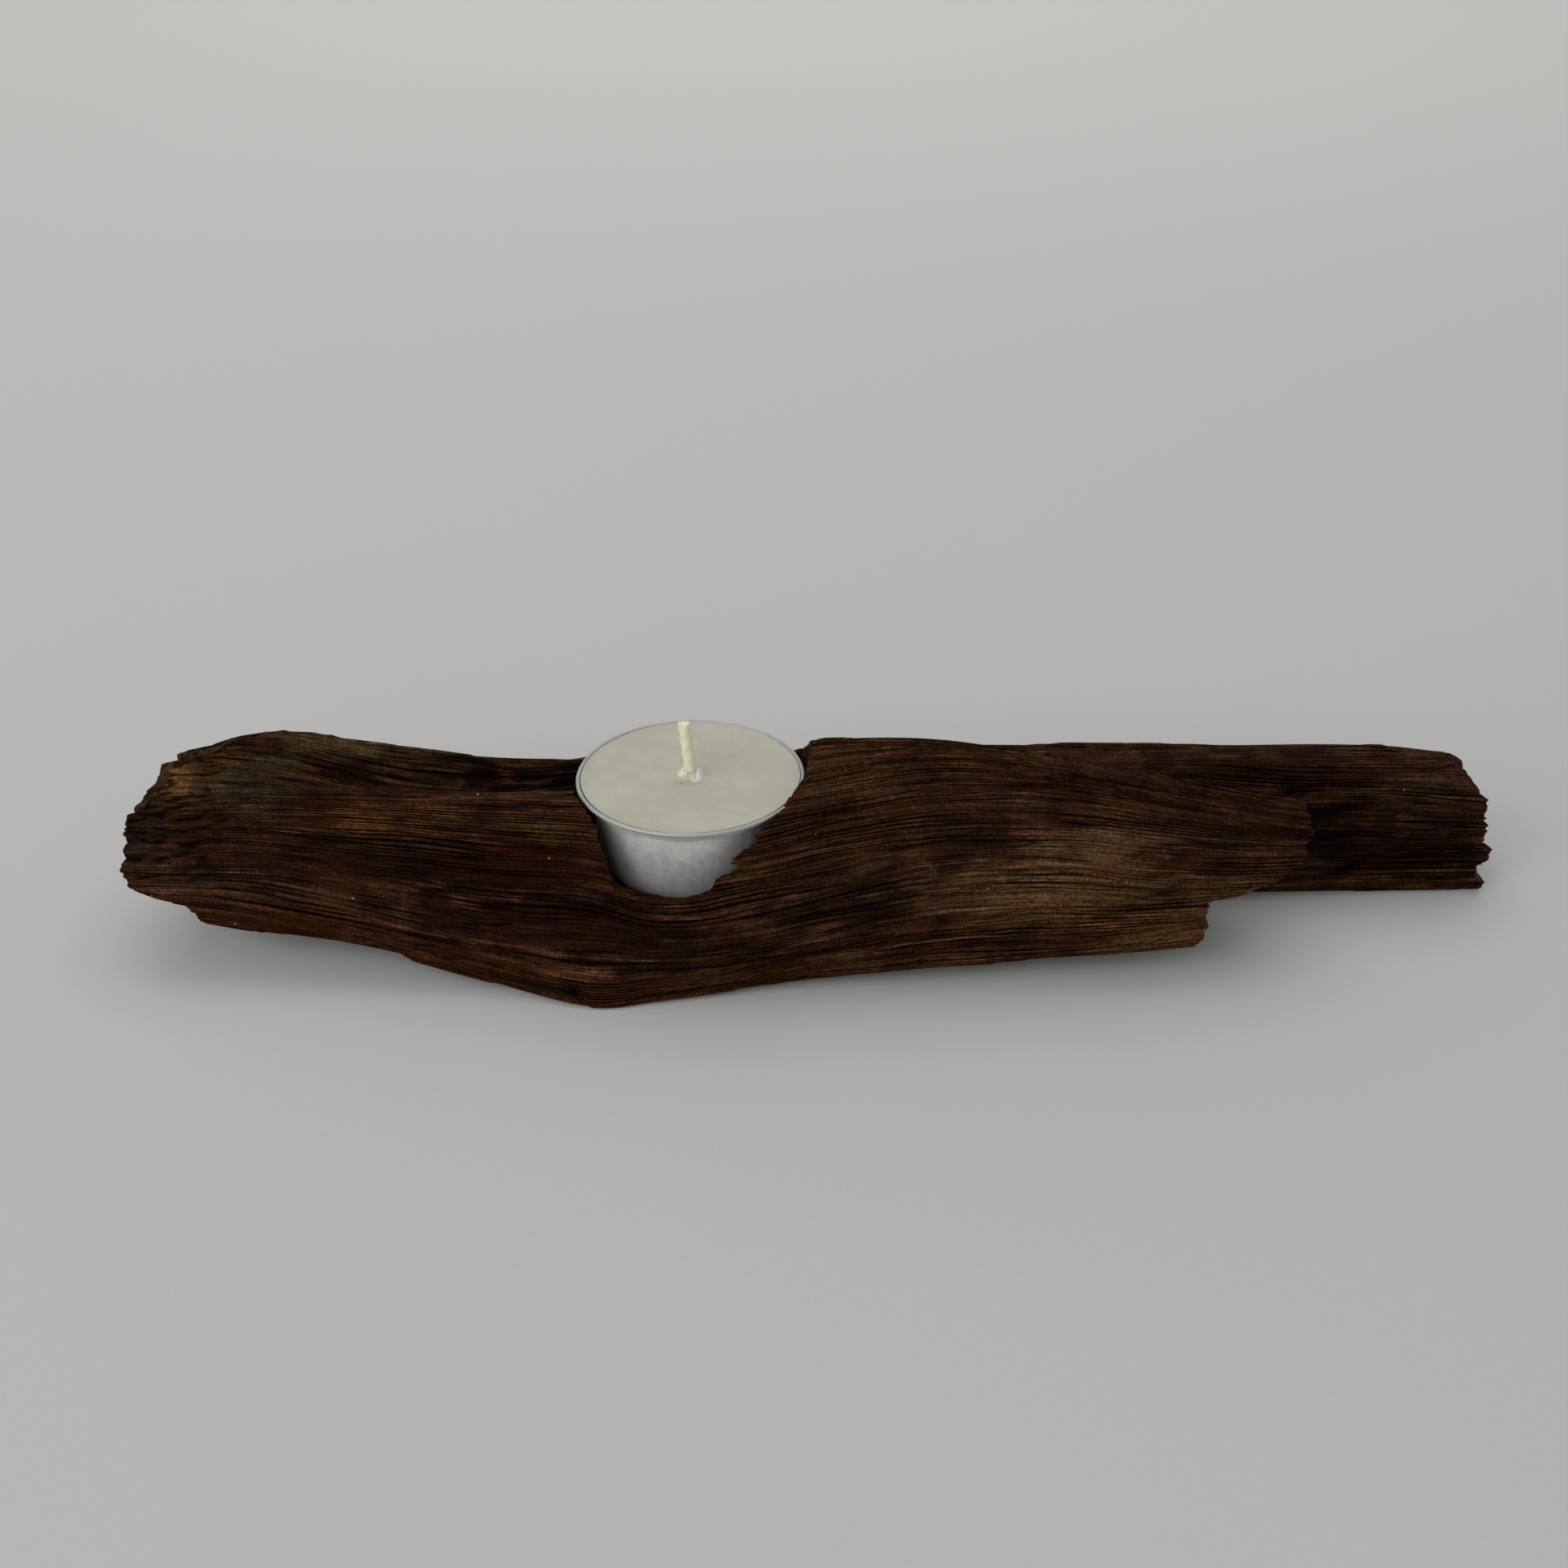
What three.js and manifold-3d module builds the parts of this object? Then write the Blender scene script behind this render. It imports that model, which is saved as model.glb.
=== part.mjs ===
// A piece of weathered driftwood with a round drilled recess holding one tealight in an
// aluminium cup. Millimetres, +Z up, +X along the wood, +Y away from the front face.
// While shaping, x = y = 0 is the axis of the tealight and z = 0 is the table.

import * as THREE from 'three';
import { mergeVertices } from 'three/addons/utils/BufferGeometryUtils.js';
import Module from 'manifold-3d';

// Drilled recess. Its axis is a little to the right of the tealight's, which stands against
// the left side.
const BORE_D = 40;
const BORE_X = 0.6;
const BORE_FLOOR_Z = 12.2;
const BORE_TOP_Z = 60;

// Tealight, standard size. Heights are above the underside of its cup.
const TEALIGHT_D = 38;
const TEALIGHT_H = 16.5;
const CUP_BASE_R = 15;
const CUP_WALL_R = 17;
const CUP_WALL = 0.4;
const CUP_CORNER = 2;
const FLARE_Z = 14.5;
const BEAD_Z = 15.3;
const BEAD_W = 0.8;
const GAP = 0.3;
const WAX_LEVEL = 16.1;
const WICK_R = 1.05;
const WICK_TIP_H = 25.8;
const WICK_LEAN = -0.85;
const TAB_R = 6;
const TAB_SHEET = 0.4;
const TAB_NECK_H = 5;

// Facets.
const MAIN_LENGTHWISE = 50;
const MAIN_AROUND = 42;
const REAR_LENGTHWISE = 34;
const REAR_AROUND = 30;
const ROUND_SEGMENTS = 44;

// Main layer of the wood. Each rail is one line of the grain: its left end as [x, y, z],
// its [y, z] at each station of MAIN_X, and its right end as [x, y, z]. The rails follow
// each other round the section.
const MAIN_X = [-84, -70, -50, -32, -16, -5, 8, 22, 40, 58, 76];
const MAIN_RAILS = [
  // middle of the underside
  [[-87, -3, 11], [-3, 8], [-3, 5.5], [-4, 3.5], [-5, 1], [-6, -0.8], [-6, -0.8], [-6, -0.8],
    [-5, 0.8], [-4, 2.2], [-3, 4], [-4, 6], [98, -4, 8]],
  // lower front edge
  [[-89.5, -9, 8.6], [-12, 7.8], [-13.8, 6.1], [-15.6, 3.8], [-19, 0.9], [-23.4, -0.3],
    [-22.3, -0.2], [-20.4, 0.4], [-19.2, 2], [-18, 3.5], [-17.4, 4.3], [-17, 5.1],
    [98, -14.5, 7]],
  // flare above the edge
  [[-92.6, -10.5, 11.2], [-14.5, 12.5], [-16, 11.5], [-18, 8.5], [-21, 5.5], [-24.2, 3.8],
    [-23.8, 4.2], [-22.6, 5], [-20.9, 6.4], [-19.6, 8.2], [-18.8, 9], [-17.8, 10.2],
    [99, -14.4, 11.4]],
  // hollow of the front face
  [[-94.2, -9, 16], [-11.5, 17], [-11, 16], [-14, 14.5], [-17.5, 13], [-19.2, 13], [-21.8, 12.5],
    [-21.6, 12.8], [-20, 13.8], [-18.4, 14.6], [-17.6, 15], [-15.8, 14.6], [100, -11.6, 14.4]],
  // upper front face
  [[-94.2, -7, 20], [-8.5, 21], [-7.5, 20.5], [-11, 20], [-14.5, 20], [-15.4, 19.6],
    [-19.3, 19.3], [-18.9, 20.6], [-17.8, 20.8], [-16.2, 21], [-15.4, 21.4], [-13.8, 20],
    [101, -9.4, 18]],
  // shoulder of the front face
  [[-93, -5, 23], [-6, 24], [-5, 24], [-8, 25], [-11.5, 25.6], [-13.6, 26], [-15.8, 26],
    [-16.4, 27], [-14.2, 27.3], [-12.4, 27.4], [-11.6, 27], [-11, 25.4], [101.4, -7.4, 22]],
  // front ridge
  [[-91.6, -3, 26], [-3, 27], [-2.5, 27], [-5.5, 27.4], [-8, 28.4], [-9.6, 28.8], [-11, 29],
    [-10.6, 30.2], [-9.4, 31], [-8, 31.4], [-7.4, 30.6], [-8, 28.4], [100.6, -5.6, 25]],
  // ledge behind the ridge
  [[-89.4, 1, 28.5], [1, 29.4], [0.5, 28.4], [-1.5, 25.6], [-2.5, 26], [-3, 27.2], [-4, 29],
    [-4.6, 32], [-4, 33.7], [-3.5, 34], [-4, 32.4], [-5.4, 30], [98, -4.2, 26.6]],
  // foot of the rear wall
  [[-87.8, 4, 29.2], [4, 30.8], [4, 29.8], [4, 24.4], [4.2, 23], [4.8, 24.2], [3, 27], [1, 32.4],
    [0.4, 34.4], [0.6, 34.5], [-1, 32.6], [-2.6, 30], [95, -2.2, 27]],
  // crest
  [[-87, 7, 28.2], [7.4, 29.8], [8, 32.2], [9, 28.8], [9.5, 26], [9.3, 26.8], [9, 27], [7, 29.5],
    [5, 31.6], [5, 31.2], [3.6, 30], [1, 27.6], [94, 0.4, 25]],
  // nape
  [[-88, 11, 23], [12, 25], [14, 27], [16, 23.8], [17, 21], [17, 20.8], [17, 21], [16.5, 22],
    [13.6, 24.6], [11, 24.4], [8, 24], [3.6, 22.6], [95, 1.6, 21]],
  // back
  [[-88.6, 13, 17], [16, 17], [20, 17], [23, 14.5], [25, 12.6], [26, 12], [26, 12], [25, 12],
    [22.4, 12.6], [14, 13.6], [10, 14.4], [4.6, 15], [97, 1, 15]],
  // lower back edge
  [[-87, 6, 11.5], [8, 9.6], [12, 7], [14, 4.4], [16, 2.4], [18, 1.2], [18, 0.8], [18, 0.8],
    [15.6, 1.8], [10, 4], [6.6, 6], [2, 8], [98, -1, 9.6]],
];

// Corner torn off the right end of the main layer, as [x, z] points, and its depth.
const TORN_CORNER = [
  [82, -5], [83, 6], [85.4, 11.6], [91, 12.4], [97, 14.4], [100.4, 17.4], [104, 24], [112, 24],
  [112, -5],
];
const TORN_FROM_Y = -40;
const TORN_TO_Y = 4;

// Chip broken out of the front lip of the recess, as [x, y] points, and its floor.
const CHIP = [[-13.6, -28], [3.4, -28], [2.6, -12], [-13.6, -12]];
const CHIP_FLOOR_Z = 17.2;

// Rear layer, drawn the same way. It lies along the back of the main one and runs on past
// its right end.
const REAR_X = [-8, 14, 40, 75, 100, 122];
const REAR_RAILS = [
  // sole
  [[-26, 13, 5], [12, 1], [12, -0.3], [13, -0.3], [14.5, -0.3], [16, -0.3], [17, -0.3],
    [136, 17, 1.4]],
  // lower front edge
  [[-27, 9, 7], [4, 4], [3, 1.5], [4, 1], [6.2, 0.4], [7.4, 0], [8.2, 0], [140, 8.7, 0.3]],
  // lip under the hollow
  [[-27, 8, 10], [3, 9], [2.4, 7], [3, 6.5], [5, 5.6], [6.4, 5], [7.6, 5], [140, 8.4, 5.4]],
  // hollow of the front face
  [[-27, 8, 13], [3, 14], [2.4, 14], [4, 14], [6.8, 13.5], [10, 12.6], [10.4, 12.6],
    [138.6, 10.6, 12]],
  // upper front face
  [[-27, 9, 16], [5, 19.5], [5, 21.5], [6, 23.2], [7.6, 22.4], [8.8, 20.4], [9, 20.2],
    [138.8, 9.6, 18]],
  // crest
  [[-26, 12, 18], [11, 22], [11, 25], [12.6, 26.4], [12.8, 25.8], [13.4, 25.4], [14, 24.8],
    [131.4, 15, 23.2]],
  // nape
  [[-26, 16, 17], [18, 20], [18.6, 21.6], [19.6, 22.8], [20, 23], [20.6, 22.4], [21, 21.8],
    [132.4, 20, 20.2]],
  // back
  [[-26, 19, 12], [25, 12], [27, 12], [28, 12], [28, 12.4], [27.6, 12], [27, 11.6],
    [134.6, 24.6, 11]],
  // heel
  [[-26, 17, 7], [20, 2.4], [22, 1.2], [23, 1], [24, 1], [24, 0.8], [24, 1], [134.6, 21.6, 3.6]],
];

function curveThrough(points, closed) {
  return new THREE.CatmullRomCurve3(points, closed, 'catmullrom', 0.5);
}

function railCurve(stations, rail) {
  const inner = stations.map((x, i) => new THREE.Vector3(x, ...rail[i + 1]));
  const ends = [new THREE.Vector3(...rail[0]), new THREE.Vector3(...rail[rail.length - 1])];
  return curveThrough([ends[0], ...inner, ends[1]], false);
}

// Closed surface through a set of rails, with a low domed cap on each end.
function loft(stations, rails, lengthwise, around) {
  const curves = rails.map((rail) => railCurve(stations, rail));
  const rings = [];
  for (let i = 0; i <= lengthwise; i += 1) {
    const section = curveThrough(curves.map((curve) => curve.getPoint(i / lengthwise)), true);
    const ring = [];
    for (let j = 0; j < around; j += 1) ring.push(section.getPoint(j / around));
    rings.push(ring);
  }
  const first = capRing(rings[0], -1);
  const last = capRing(rings[lengthwise], 1);
  return closedSkin([first.ring, ...rings, last.ring], first.middle, last.middle);
}

function capRing(ring, side) {
  const middle = new THREE.Vector3();
  ring.forEach((p) => middle.addScaledVector(p, 1 / ring.length));
  const inner = ring.map((p) => p.clone().lerp(middle, 0.45));
  inner.forEach((p) => { p.x += side * 0.8; });
  middle.x += side;
  return { ring: inner, middle };
}

function closedSkin(rings, start, end) {
  const around = rings[0].length;
  const points = [start, ...rings.flat(), end];
  const index = [];
  for (let j = 0; j < around; j += 1) {
    const next = (j + 1) % around;
    index.push(0, 1 + j, 1 + next);
    for (let i = 0; i + 1 < rings.length; i += 1) {
      const a = 1 + i * around + j;
      const b = 1 + i * around + next;
      index.push(a, a + around, b, b, a + around, b + around);
    }
    const lastRing = 1 + (rings.length - 1) * around;
    index.push(points.length - 1, lastRing + next, lastRing + j);
  }
  return indexed(points, index);
}

function indexed(points, index) {
  const geometry = new THREE.BufferGeometry();
  geometry.setAttribute('position', new THREE.Float32BufferAttribute(points.flatMap((p) => [...p]), 3));
  geometry.setIndex(index);
  return geometry;
}

// Solid of revolution about the z axis. The outline is [radius, z] points, anticlockwise
// with the radius to the right, and is closed from its last point to its first.
function turned(outline) {
  const points = [];
  const rows = [];
  for (const [radius, z] of outline) {
    const row = [];
    for (let j = 0; j < ROUND_SEGMENTS; j += 1) {
      if (radius === 0 && j > 0) {
        row.push(row[0]);
      } else {
        const turn = (2 * Math.PI * j) / ROUND_SEGMENTS;
        row.push(points.length);
        points.push(new THREE.Vector3(radius * Math.cos(turn), radius * Math.sin(turn), z));
      }
    }
    rows.push(row);
  }
  const index = [];
  rows.forEach((row, i) => {
    const above = rows[(i + 1) % rows.length];
    for (let j = 0; j < ROUND_SEGMENTS; j += 1) {
      const next = (j + 1) % ROUND_SEGMENTS;
      if (row[j] !== row[next]) index.push(row[j], row[next], above[j]);
      if (above[j] !== above[next]) index.push(row[next], above[next], above[j]);
    }
  });
  return indexed(points, index);
}

function solid(wasm, geometry) {
  const merged = mergeVertices(geometry, 1e-4);
  return new wasm.Manifold(new wasm.Mesh({
    numProp: 3,
    vertProperties: new Float32Array(merged.attributes.position.array),
    triVerts: new Uint32Array(merged.index.array),
  }));
}

function geometryOf(manifold) {
  const { vertProperties, triVerts } = manifold.getMesh();
  const geometry = new THREE.BufferGeometry();
  geometry.setAttribute('position', new THREE.Float32BufferAttribute(vertProperties, 3));
  geometry.setIndex([...triVerts]);
  return geometry;
}

function block(width, depth, height, x, y, z) {
  const geometry = new THREE.BoxGeometry(width, depth, height);
  geometry.deleteAttribute('normal');
  geometry.deleteAttribute('uv');
  return geometry.translate(x, y, z);
}

function prism(outline, depth) {
  const shape = new THREE.Shape(outline.map(([x, y]) => new THREE.Vector2(x, y)));
  const geometry = new THREE.ExtrudeGeometry(shape, { depth, bevelEnabled: false });
  geometry.deleteAttribute('normal');
  geometry.deleteAttribute('uv');
  return geometry;
}

function tornCorner() {
  const depth = TORN_TO_Y - TORN_FROM_Y;
  return prism(TORN_CORNER, depth).rotateX(Math.PI / 2).translate(0, TORN_TO_Y, 0);
}

function brokenLip() {
  return prism(CHIP, BORE_TOP_Z - CHIP_FLOOR_Z).translate(0, 0, CHIP_FLOOR_Z);
}

// The two layers grown together, levelled underneath and drilled from above.
function driftwood(wasm) {
  const whole = solid(wasm, loft(MAIN_X, MAIN_RAILS, MAIN_LENGTHWISE, MAIN_AROUND));
  const main = whole.subtract(solid(wasm, tornCorner()));
  const rear = solid(wasm, loft(REAR_X, REAR_RAILS, REAR_LENGTHWISE, REAR_AROUND));
  const table = solid(wasm, block(400, 200, 40, 0, 0, -20));
  const bore = solid(wasm, turned([
    [0, BORE_FLOOR_Z], [BORE_D / 2, BORE_FLOOR_Z], [BORE_D / 2, BORE_TOP_Z], [0, BORE_TOP_Z],
  ]).translate(BORE_X, 0, 0));
  const lip = solid(wasm, brokenLip());
  return geometryOf(main.add(rear).subtract(table).subtract(bore).subtract(lip));
}

function cup() {
  const rim = TEALIGHT_D / 2;
  return turned([
    [0, 0],
    [CUP_BASE_R - CUP_CORNER, 0],
    [CUP_BASE_R - CUP_CORNER * 0.4, CUP_CORNER * 0.25],
    [CUP_BASE_R, CUP_CORNER],
    [CUP_WALL_R, FLARE_Z],
    [rim - 0.6, BEAD_Z],
    [rim - 0.3, BEAD_Z],
    [rim, BEAD_Z + 0.3],
    [rim, TEALIGHT_H - 0.3],
    [rim - 0.3, TEALIGHT_H],
    [rim - BEAD_W + 0.2, TEALIGHT_H],
    [rim - BEAD_W, TEALIGHT_H - 0.6],
    [CUP_WALL_R - CUP_WALL + 0.1, FLARE_Z + CUP_WALL],
    [CUP_BASE_R - CUP_WALL, CUP_CORNER + 0.1],
    [CUP_BASE_R - CUP_CORNER * 0.5 - CUP_WALL, CUP_CORNER * 0.25 + CUP_WALL],
    [CUP_BASE_R - CUP_CORNER - CUP_WALL, CUP_WALL],
    [0, CUP_WALL],
  ]);
}

// Wax fills the cup, closes over the wick's metal foot and climbs the wick a little.
function wax() {
  const neck = WICK_R + GAP + TAB_SHEET + GAP;
  const tabTop = CUP_WALL + GAP + TAB_SHEET + GAP;
  const neckTop = TAB_NECK_H + GAP;
  const inner = CUP_BASE_R - CUP_WALL - GAP;
  return turned([
    [TAB_R + GAP, CUP_WALL + GAP],
    [CUP_BASE_R - CUP_CORNER - CUP_WALL - GAP, CUP_WALL + GAP],
    [inner - CUP_CORNER * 0.5, CUP_CORNER * 0.25 + CUP_WALL + GAP],
    [inner, CUP_CORNER + GAP],
    [CUP_WALL_R - CUP_WALL - GAP, FLARE_Z + CUP_WALL + GAP],
    [TEALIGHT_D / 2 - BEAD_W - GAP, WAX_LEVEL],
    [2.6, WAX_LEVEL],
    [WICK_R + GAP, WAX_LEVEL + 0.9],
    [WICK_R + GAP, neckTop],
    [neck, neckTop],
    [neck, tabTop],
    [TAB_R + GAP, tabTop],
  ]);
}

function wick() {
  const path = curveThrough([
    new THREE.Vector3(0, 0, CUP_WALL + GAP),
    new THREE.Vector3(0, 0, WAX_LEVEL * 0.5),
    new THREE.Vector3(0, 0, WAX_LEVEL),
    new THREE.Vector3(WICK_LEAN * 0.42, 0, (WAX_LEVEL + WICK_TIP_H) / 2),
    new THREE.Vector3(WICK_LEAN, 0, WICK_TIP_H),
  ], false);
  const sides = 12;
  const steps = 12;
  const rings = [];
  for (let i = 0; i <= steps; i += 1) {
    const centre = path.getPoint(i / steps);
    const ring = [];
    for (let j = 0; j < sides; j += 1) {
      const turn = (-2 * Math.PI * j) / sides;
      const side = new THREE.Vector3(WICK_R * Math.cos(turn), WICK_R * Math.sin(turn), 0);
      ring.push(side.add(centre));
    }
    rings.push(ring);
  }
  return closedSkin(rings, path.getPoint(0), path.getPoint(1));
}

// Pressed metal foot: a flat tab with a short neck crimped round the wick.
function sustainer() {
  const base = CUP_WALL + GAP;
  const hole = WICK_R + GAP;
  return turned([
    [hole, base],
    [TAB_R, base],
    [TAB_R, base + TAB_SHEET],
    [hole + TAB_SHEET, base + TAB_SHEET],
    [hole + TAB_SHEET, TAB_NECK_H],
    [hole, TAB_NECK_H],
  ]);
}

function piece(name, geometry, color, roughness, metalness) {
  geometry.computeVertexNormals();
  const mesh = new THREE.Mesh(geometry, new THREE.MeshStandardMaterial({ color, roughness, metalness }));
  mesh.name = name;
  return mesh;
}

const wasm = await Module();
wasm.setup();

const wood = driftwood(wasm);
wood.computeBoundingBox();
const middle = wood.boundingBox.getCenter(new THREE.Vector3());
const tealightZ = BORE_FLOOR_Z + GAP;
const holder = new THREE.Group();
holder.name = 'driftwood_tealight_holder';
holder.add(
  piece('driftwood_body', wood, 0x3a2819, 0.9, 0),
  piece('tealight_cup', cup().translate(0, 0, tealightZ), 0xb9babb, 0.35, 1),
  piece('wax', wax().translate(0, 0, tealightZ), 0xcfccc0, 0.5, 0),
  piece('wick', wick().translate(0, 0, tealightZ), 0xd9d0a6, 0.9, 0),
  piece('wick_sustainer', sustainer().translate(0, 0, tealightZ), 0xa8a9aa, 0.4, 1),
);
holder.children.forEach((mesh) => mesh.geometry.translate(-middle.x, -middle.y, 0));

export default holder;
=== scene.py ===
"""Looks of a driftwood tealight holder: a weathered piece of wood with a drilled recess and one
tealight in an aluminium cup. Lengths are millimetres in the tables and metres in the scene."""

import math

import bpy
import numpy as np
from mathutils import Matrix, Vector


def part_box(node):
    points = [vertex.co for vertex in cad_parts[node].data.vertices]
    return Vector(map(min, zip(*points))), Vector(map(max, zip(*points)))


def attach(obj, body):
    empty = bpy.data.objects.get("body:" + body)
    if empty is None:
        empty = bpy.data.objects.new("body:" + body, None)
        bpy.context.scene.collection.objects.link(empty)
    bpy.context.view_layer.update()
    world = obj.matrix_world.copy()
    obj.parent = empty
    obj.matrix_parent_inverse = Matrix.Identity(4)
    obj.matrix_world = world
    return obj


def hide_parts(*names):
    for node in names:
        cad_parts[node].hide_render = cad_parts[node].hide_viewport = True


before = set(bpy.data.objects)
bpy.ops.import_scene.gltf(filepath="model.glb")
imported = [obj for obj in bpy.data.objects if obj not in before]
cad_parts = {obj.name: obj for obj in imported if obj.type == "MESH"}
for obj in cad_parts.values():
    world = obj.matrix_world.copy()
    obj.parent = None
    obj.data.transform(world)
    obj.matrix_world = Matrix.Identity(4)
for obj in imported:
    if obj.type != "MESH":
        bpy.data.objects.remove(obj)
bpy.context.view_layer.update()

MM = 0.001

# The axis of the tealight and the underside of its cup, in millimetres.
cup_low, cup_high = (np.array(corner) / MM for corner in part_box("tealight_cup"))
AXIS = np.array([(cup_low[0] + cup_high[0]) / 2, (cup_low[1] + cup_high[1]) / 2, 0.0])
CUP_BASE_Z = cup_low[2]

# Drilled recess, from the tealight's axis.
BORE_R = 19.7
BORE_X = 0.15
BORE_FLOOR_Z = 12.2
BORE_TOP_Z = 60.0

# Rails of the wood's two layers, from the tealight's axis. Each rail is one line of the grain:
# its left end, its [y, z] at each station, and its right end.
MAIN_X = [-84, -70, -50, -32, -16, -5, 8, 22, 40, 58, 76]
MAIN_RAILS = [
    # middle of the underside
    [[-87, -3, 11], [-3, 8], [-3, 5.5], [-4, 3.5], [-5, 1], [-6, -0.8], [-6, -0.8], [-6, -0.8],
     [-5, 0.8], [-4, 2.2], [-3, 4], [-4, 6], [98, -4, 8]],
    # lower front edge
    [[-89.5, -9, 8.6], [-12, 7.8], [-13.8, 6.1], [-15.6, 3.8], [-19, 0.9], [-23.4, -0.3],
     [-22.3, -0.2], [-20.4, 0.4], [-19.2, 2], [-18, 3.5], [-17.4, 4.3], [-17, 5.1],
     [98, -14.5, 7]],
    # flare above the edge
    [[-92.6, -10.5, 11.2], [-14.5, 12.5], [-16, 11.5], [-18, 8.5], [-21, 5.5], [-24.2, 3.8],
     [-23.8, 4.2], [-22.6, 5], [-20.9, 6.4], [-19.6, 8.2], [-18.8, 9], [-17.8, 10.2],
     [99, -14.4, 11.4]],
    # hollow of the front face
    [[-94.2, -9, 16], [-11.5, 17], [-11, 16], [-14, 14.5], [-17.5, 13], [-19.2, 13],
     [-21.8, 12.5], [-21.6, 12.8], [-20, 13.8], [-18.4, 14.6], [-17.6, 15], [-15.8, 14.6],
     [100, -11.6, 14.4]],
    # upper front face
    [[-94.2, -7, 20], [-8.5, 21], [-7.5, 20.5], [-11, 20], [-14.5, 20], [-15.4, 19.6],
     [-19.3, 19.3], [-18.9, 20.6], [-17.8, 20.8], [-16.2, 21], [-15.4, 21.4], [-13.8, 20],
     [101, -9.4, 18]],
    # shoulder of the front face
    [[-93, -5, 23], [-6, 24], [-5, 24], [-8, 25], [-11.5, 25.6], [-13.6, 26], [-15.8, 26],
     [-16.4, 27], [-14.2, 27.3], [-12.4, 27.4], [-11.6, 27], [-11, 25.4], [101.8, -7.6, 20.6]],
    # front ridge
    [[-91.6, -3, 26], [-3, 27], [-2.5, 27], [-5.5, 27.4], [-8, 28.4], [-9.6, 28.8], [-11, 29],
     [-10.6, 30.2], [-9.4, 31], [-8, 31.4], [-7.4, 30.6], [-8, 28.4], [101.8, -6.2, 22.8]],
    # ledge behind the ridge
    [[-89.4, 1, 28.5], [1, 29.4], [0.5, 28.4], [-1.5, 25.6], [-2.5, 26], [-3, 27.2], [-4, 29],
     [-4.6, 32], [-4, 33.7], [-3.5, 34], [-4, 32.4], [-5.4, 30], [101.4, -4.4, 23.8]],
    # foot of the rear wall
    [[-87.8, 4, 29.2], [4, 30.8], [4, 29.8], [4, 24.4], [4.2, 23], [4.8, 24.2], [3, 27],
     [1, 32.4], [0.4, 34.4], [0.6, 34.5], [-1, 32.6], [-2.6, 30], [100.4, -2.6, 23.6]],
    # crest
    [[-87, 7, 28.2], [7.4, 29.8], [8, 32.2], [9, 28.8], [9.5, 26], [9.3, 26.8], [9, 27],
     [7, 29.5], [5, 31.6], [5, 31.2], [3.6, 30], [1, 27.6], [99.4, -0.2, 22.4]],
    # nape
    [[-88, 11, 23], [12, 25], [14, 27], [16, 23.8], [17, 21], [17, 20.8], [17, 21],
     [16.5, 22], [13.6, 24.6], [11, 24.4], [8, 24], [3.6, 22.6], [95, 1.6, 21]],
    # back
    [[-88.6, 13, 17], [16, 17], [20, 17], [23, 14.5], [25, 12.6], [26, 12], [26, 12],
     [25, 12], [22.4, 12.6], [14, 13.6], [10, 14.4], [4.6, 15], [97, 1, 15]],
    # lower back edge
    [[-87, 6, 11.5], [8, 9.6], [12, 7], [14, 4.4], [16, 2.4], [18, 1.2], [18, 0.8],
     [18, 0.8], [15.6, 1.8], [10, 4], [6.6, 6], [2, 8], [98, -1, 9.6]],
]
REAR_X = [-8, 14, 40, 75, 100, 122]
REAR_RAILS = [
    # sole
    [[-26, 13, 5], [12, 1], [12, -0.3], [13, -0.3], [14.5, -0.3], [16, -0.3], [17, -0.3],
     [136, 17, 1.4]],
    # lower front edge
    [[-27, 9, 7], [4, 4], [3, 1.5], [4, 1], [6.2, 0.4], [7.4, 0], [8.2, 0], [140, 8.7, 0.3]],
    # lip under the hollow
    [[-27, 8, 10], [3, 9], [2.4, 7], [3, 6.5], [5, 5.6], [6.4, 5], [7.6, 5], [140, 8.4, 5.4]],
    # hollow of the front face
    [[-27, 8, 13], [3, 14], [2.4, 14], [4, 14], [6.8, 13.5], [10, 12.6], [10.4, 12.6],
     [138.6, 10.6, 12]],
    # upper front face
    [[-27, 9, 16], [5, 19.5], [5, 21.5], [6, 23.2], [7.6, 22.4], [8.8, 20.4], [9, 20.2],
     [138.8, 9.6, 18]],
    # crest
    [[-26, 12, 18], [11, 22], [11, 24.6], [12.6, 25.3], [12.8, 24.8], [13.4, 24.6], [14, 24.2],
     [131.4, 15, 23.2]],
    # nape
    [[-26, 16, 17], [18, 20], [18.6, 21.6], [19.6, 22.8], [20, 23], [20.6, 22.4], [21, 21.8],
     [132.4, 20, 20.2]],
    # back
    [[-26, 19, 12], [25, 12], [27, 12], [28, 12], [28, 12.4], [27.6, 12], [27, 11.6],
     [134.6, 24.6, 11]],
    # heel
    [[-26, 17, 7], [20, 2.4], [22, 1.2], [23, 1], [24, 1], [24, 0.8], [24, 1],
     [134.6, 21.6, 3.6]],
]

# Where the grain's lines stop, as [z, x] pairs: the worn left end of the main layer, its torn right
# end, and the right end of the rear layer.
MAIN_LEFT = [
    (-5, -77), (4, -77.8), (6, -80.4), (9.6, -81.2), (12.4, -82.4), (13, -85), (13.5, -89.6),
    (14.3, -91.6), (15.4, -92.4), (17, -92.8), (20.7, -92.5), (24, -91.8), (24.8, -90.2), (25.3, -88.7),
    (27, -87.7), (29.2, -87), (29.7, -84.6), (30.4, -80), (33, -73),
]
MAIN_RIGHT = [
    (-5, 79), (4, 79.8), (5.9, 82.4), (7.9, 83.2), (12, 83.6), (13.6, 84), (14.1, 89.4), (14.8, 91.6),
    (15.4, 94.6), (16.5, 97.4), (18.2, 99.7), (20.1, 100.7), (22.2, 101.4), (24.4, 101.2), (27, 99.6),
]
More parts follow.
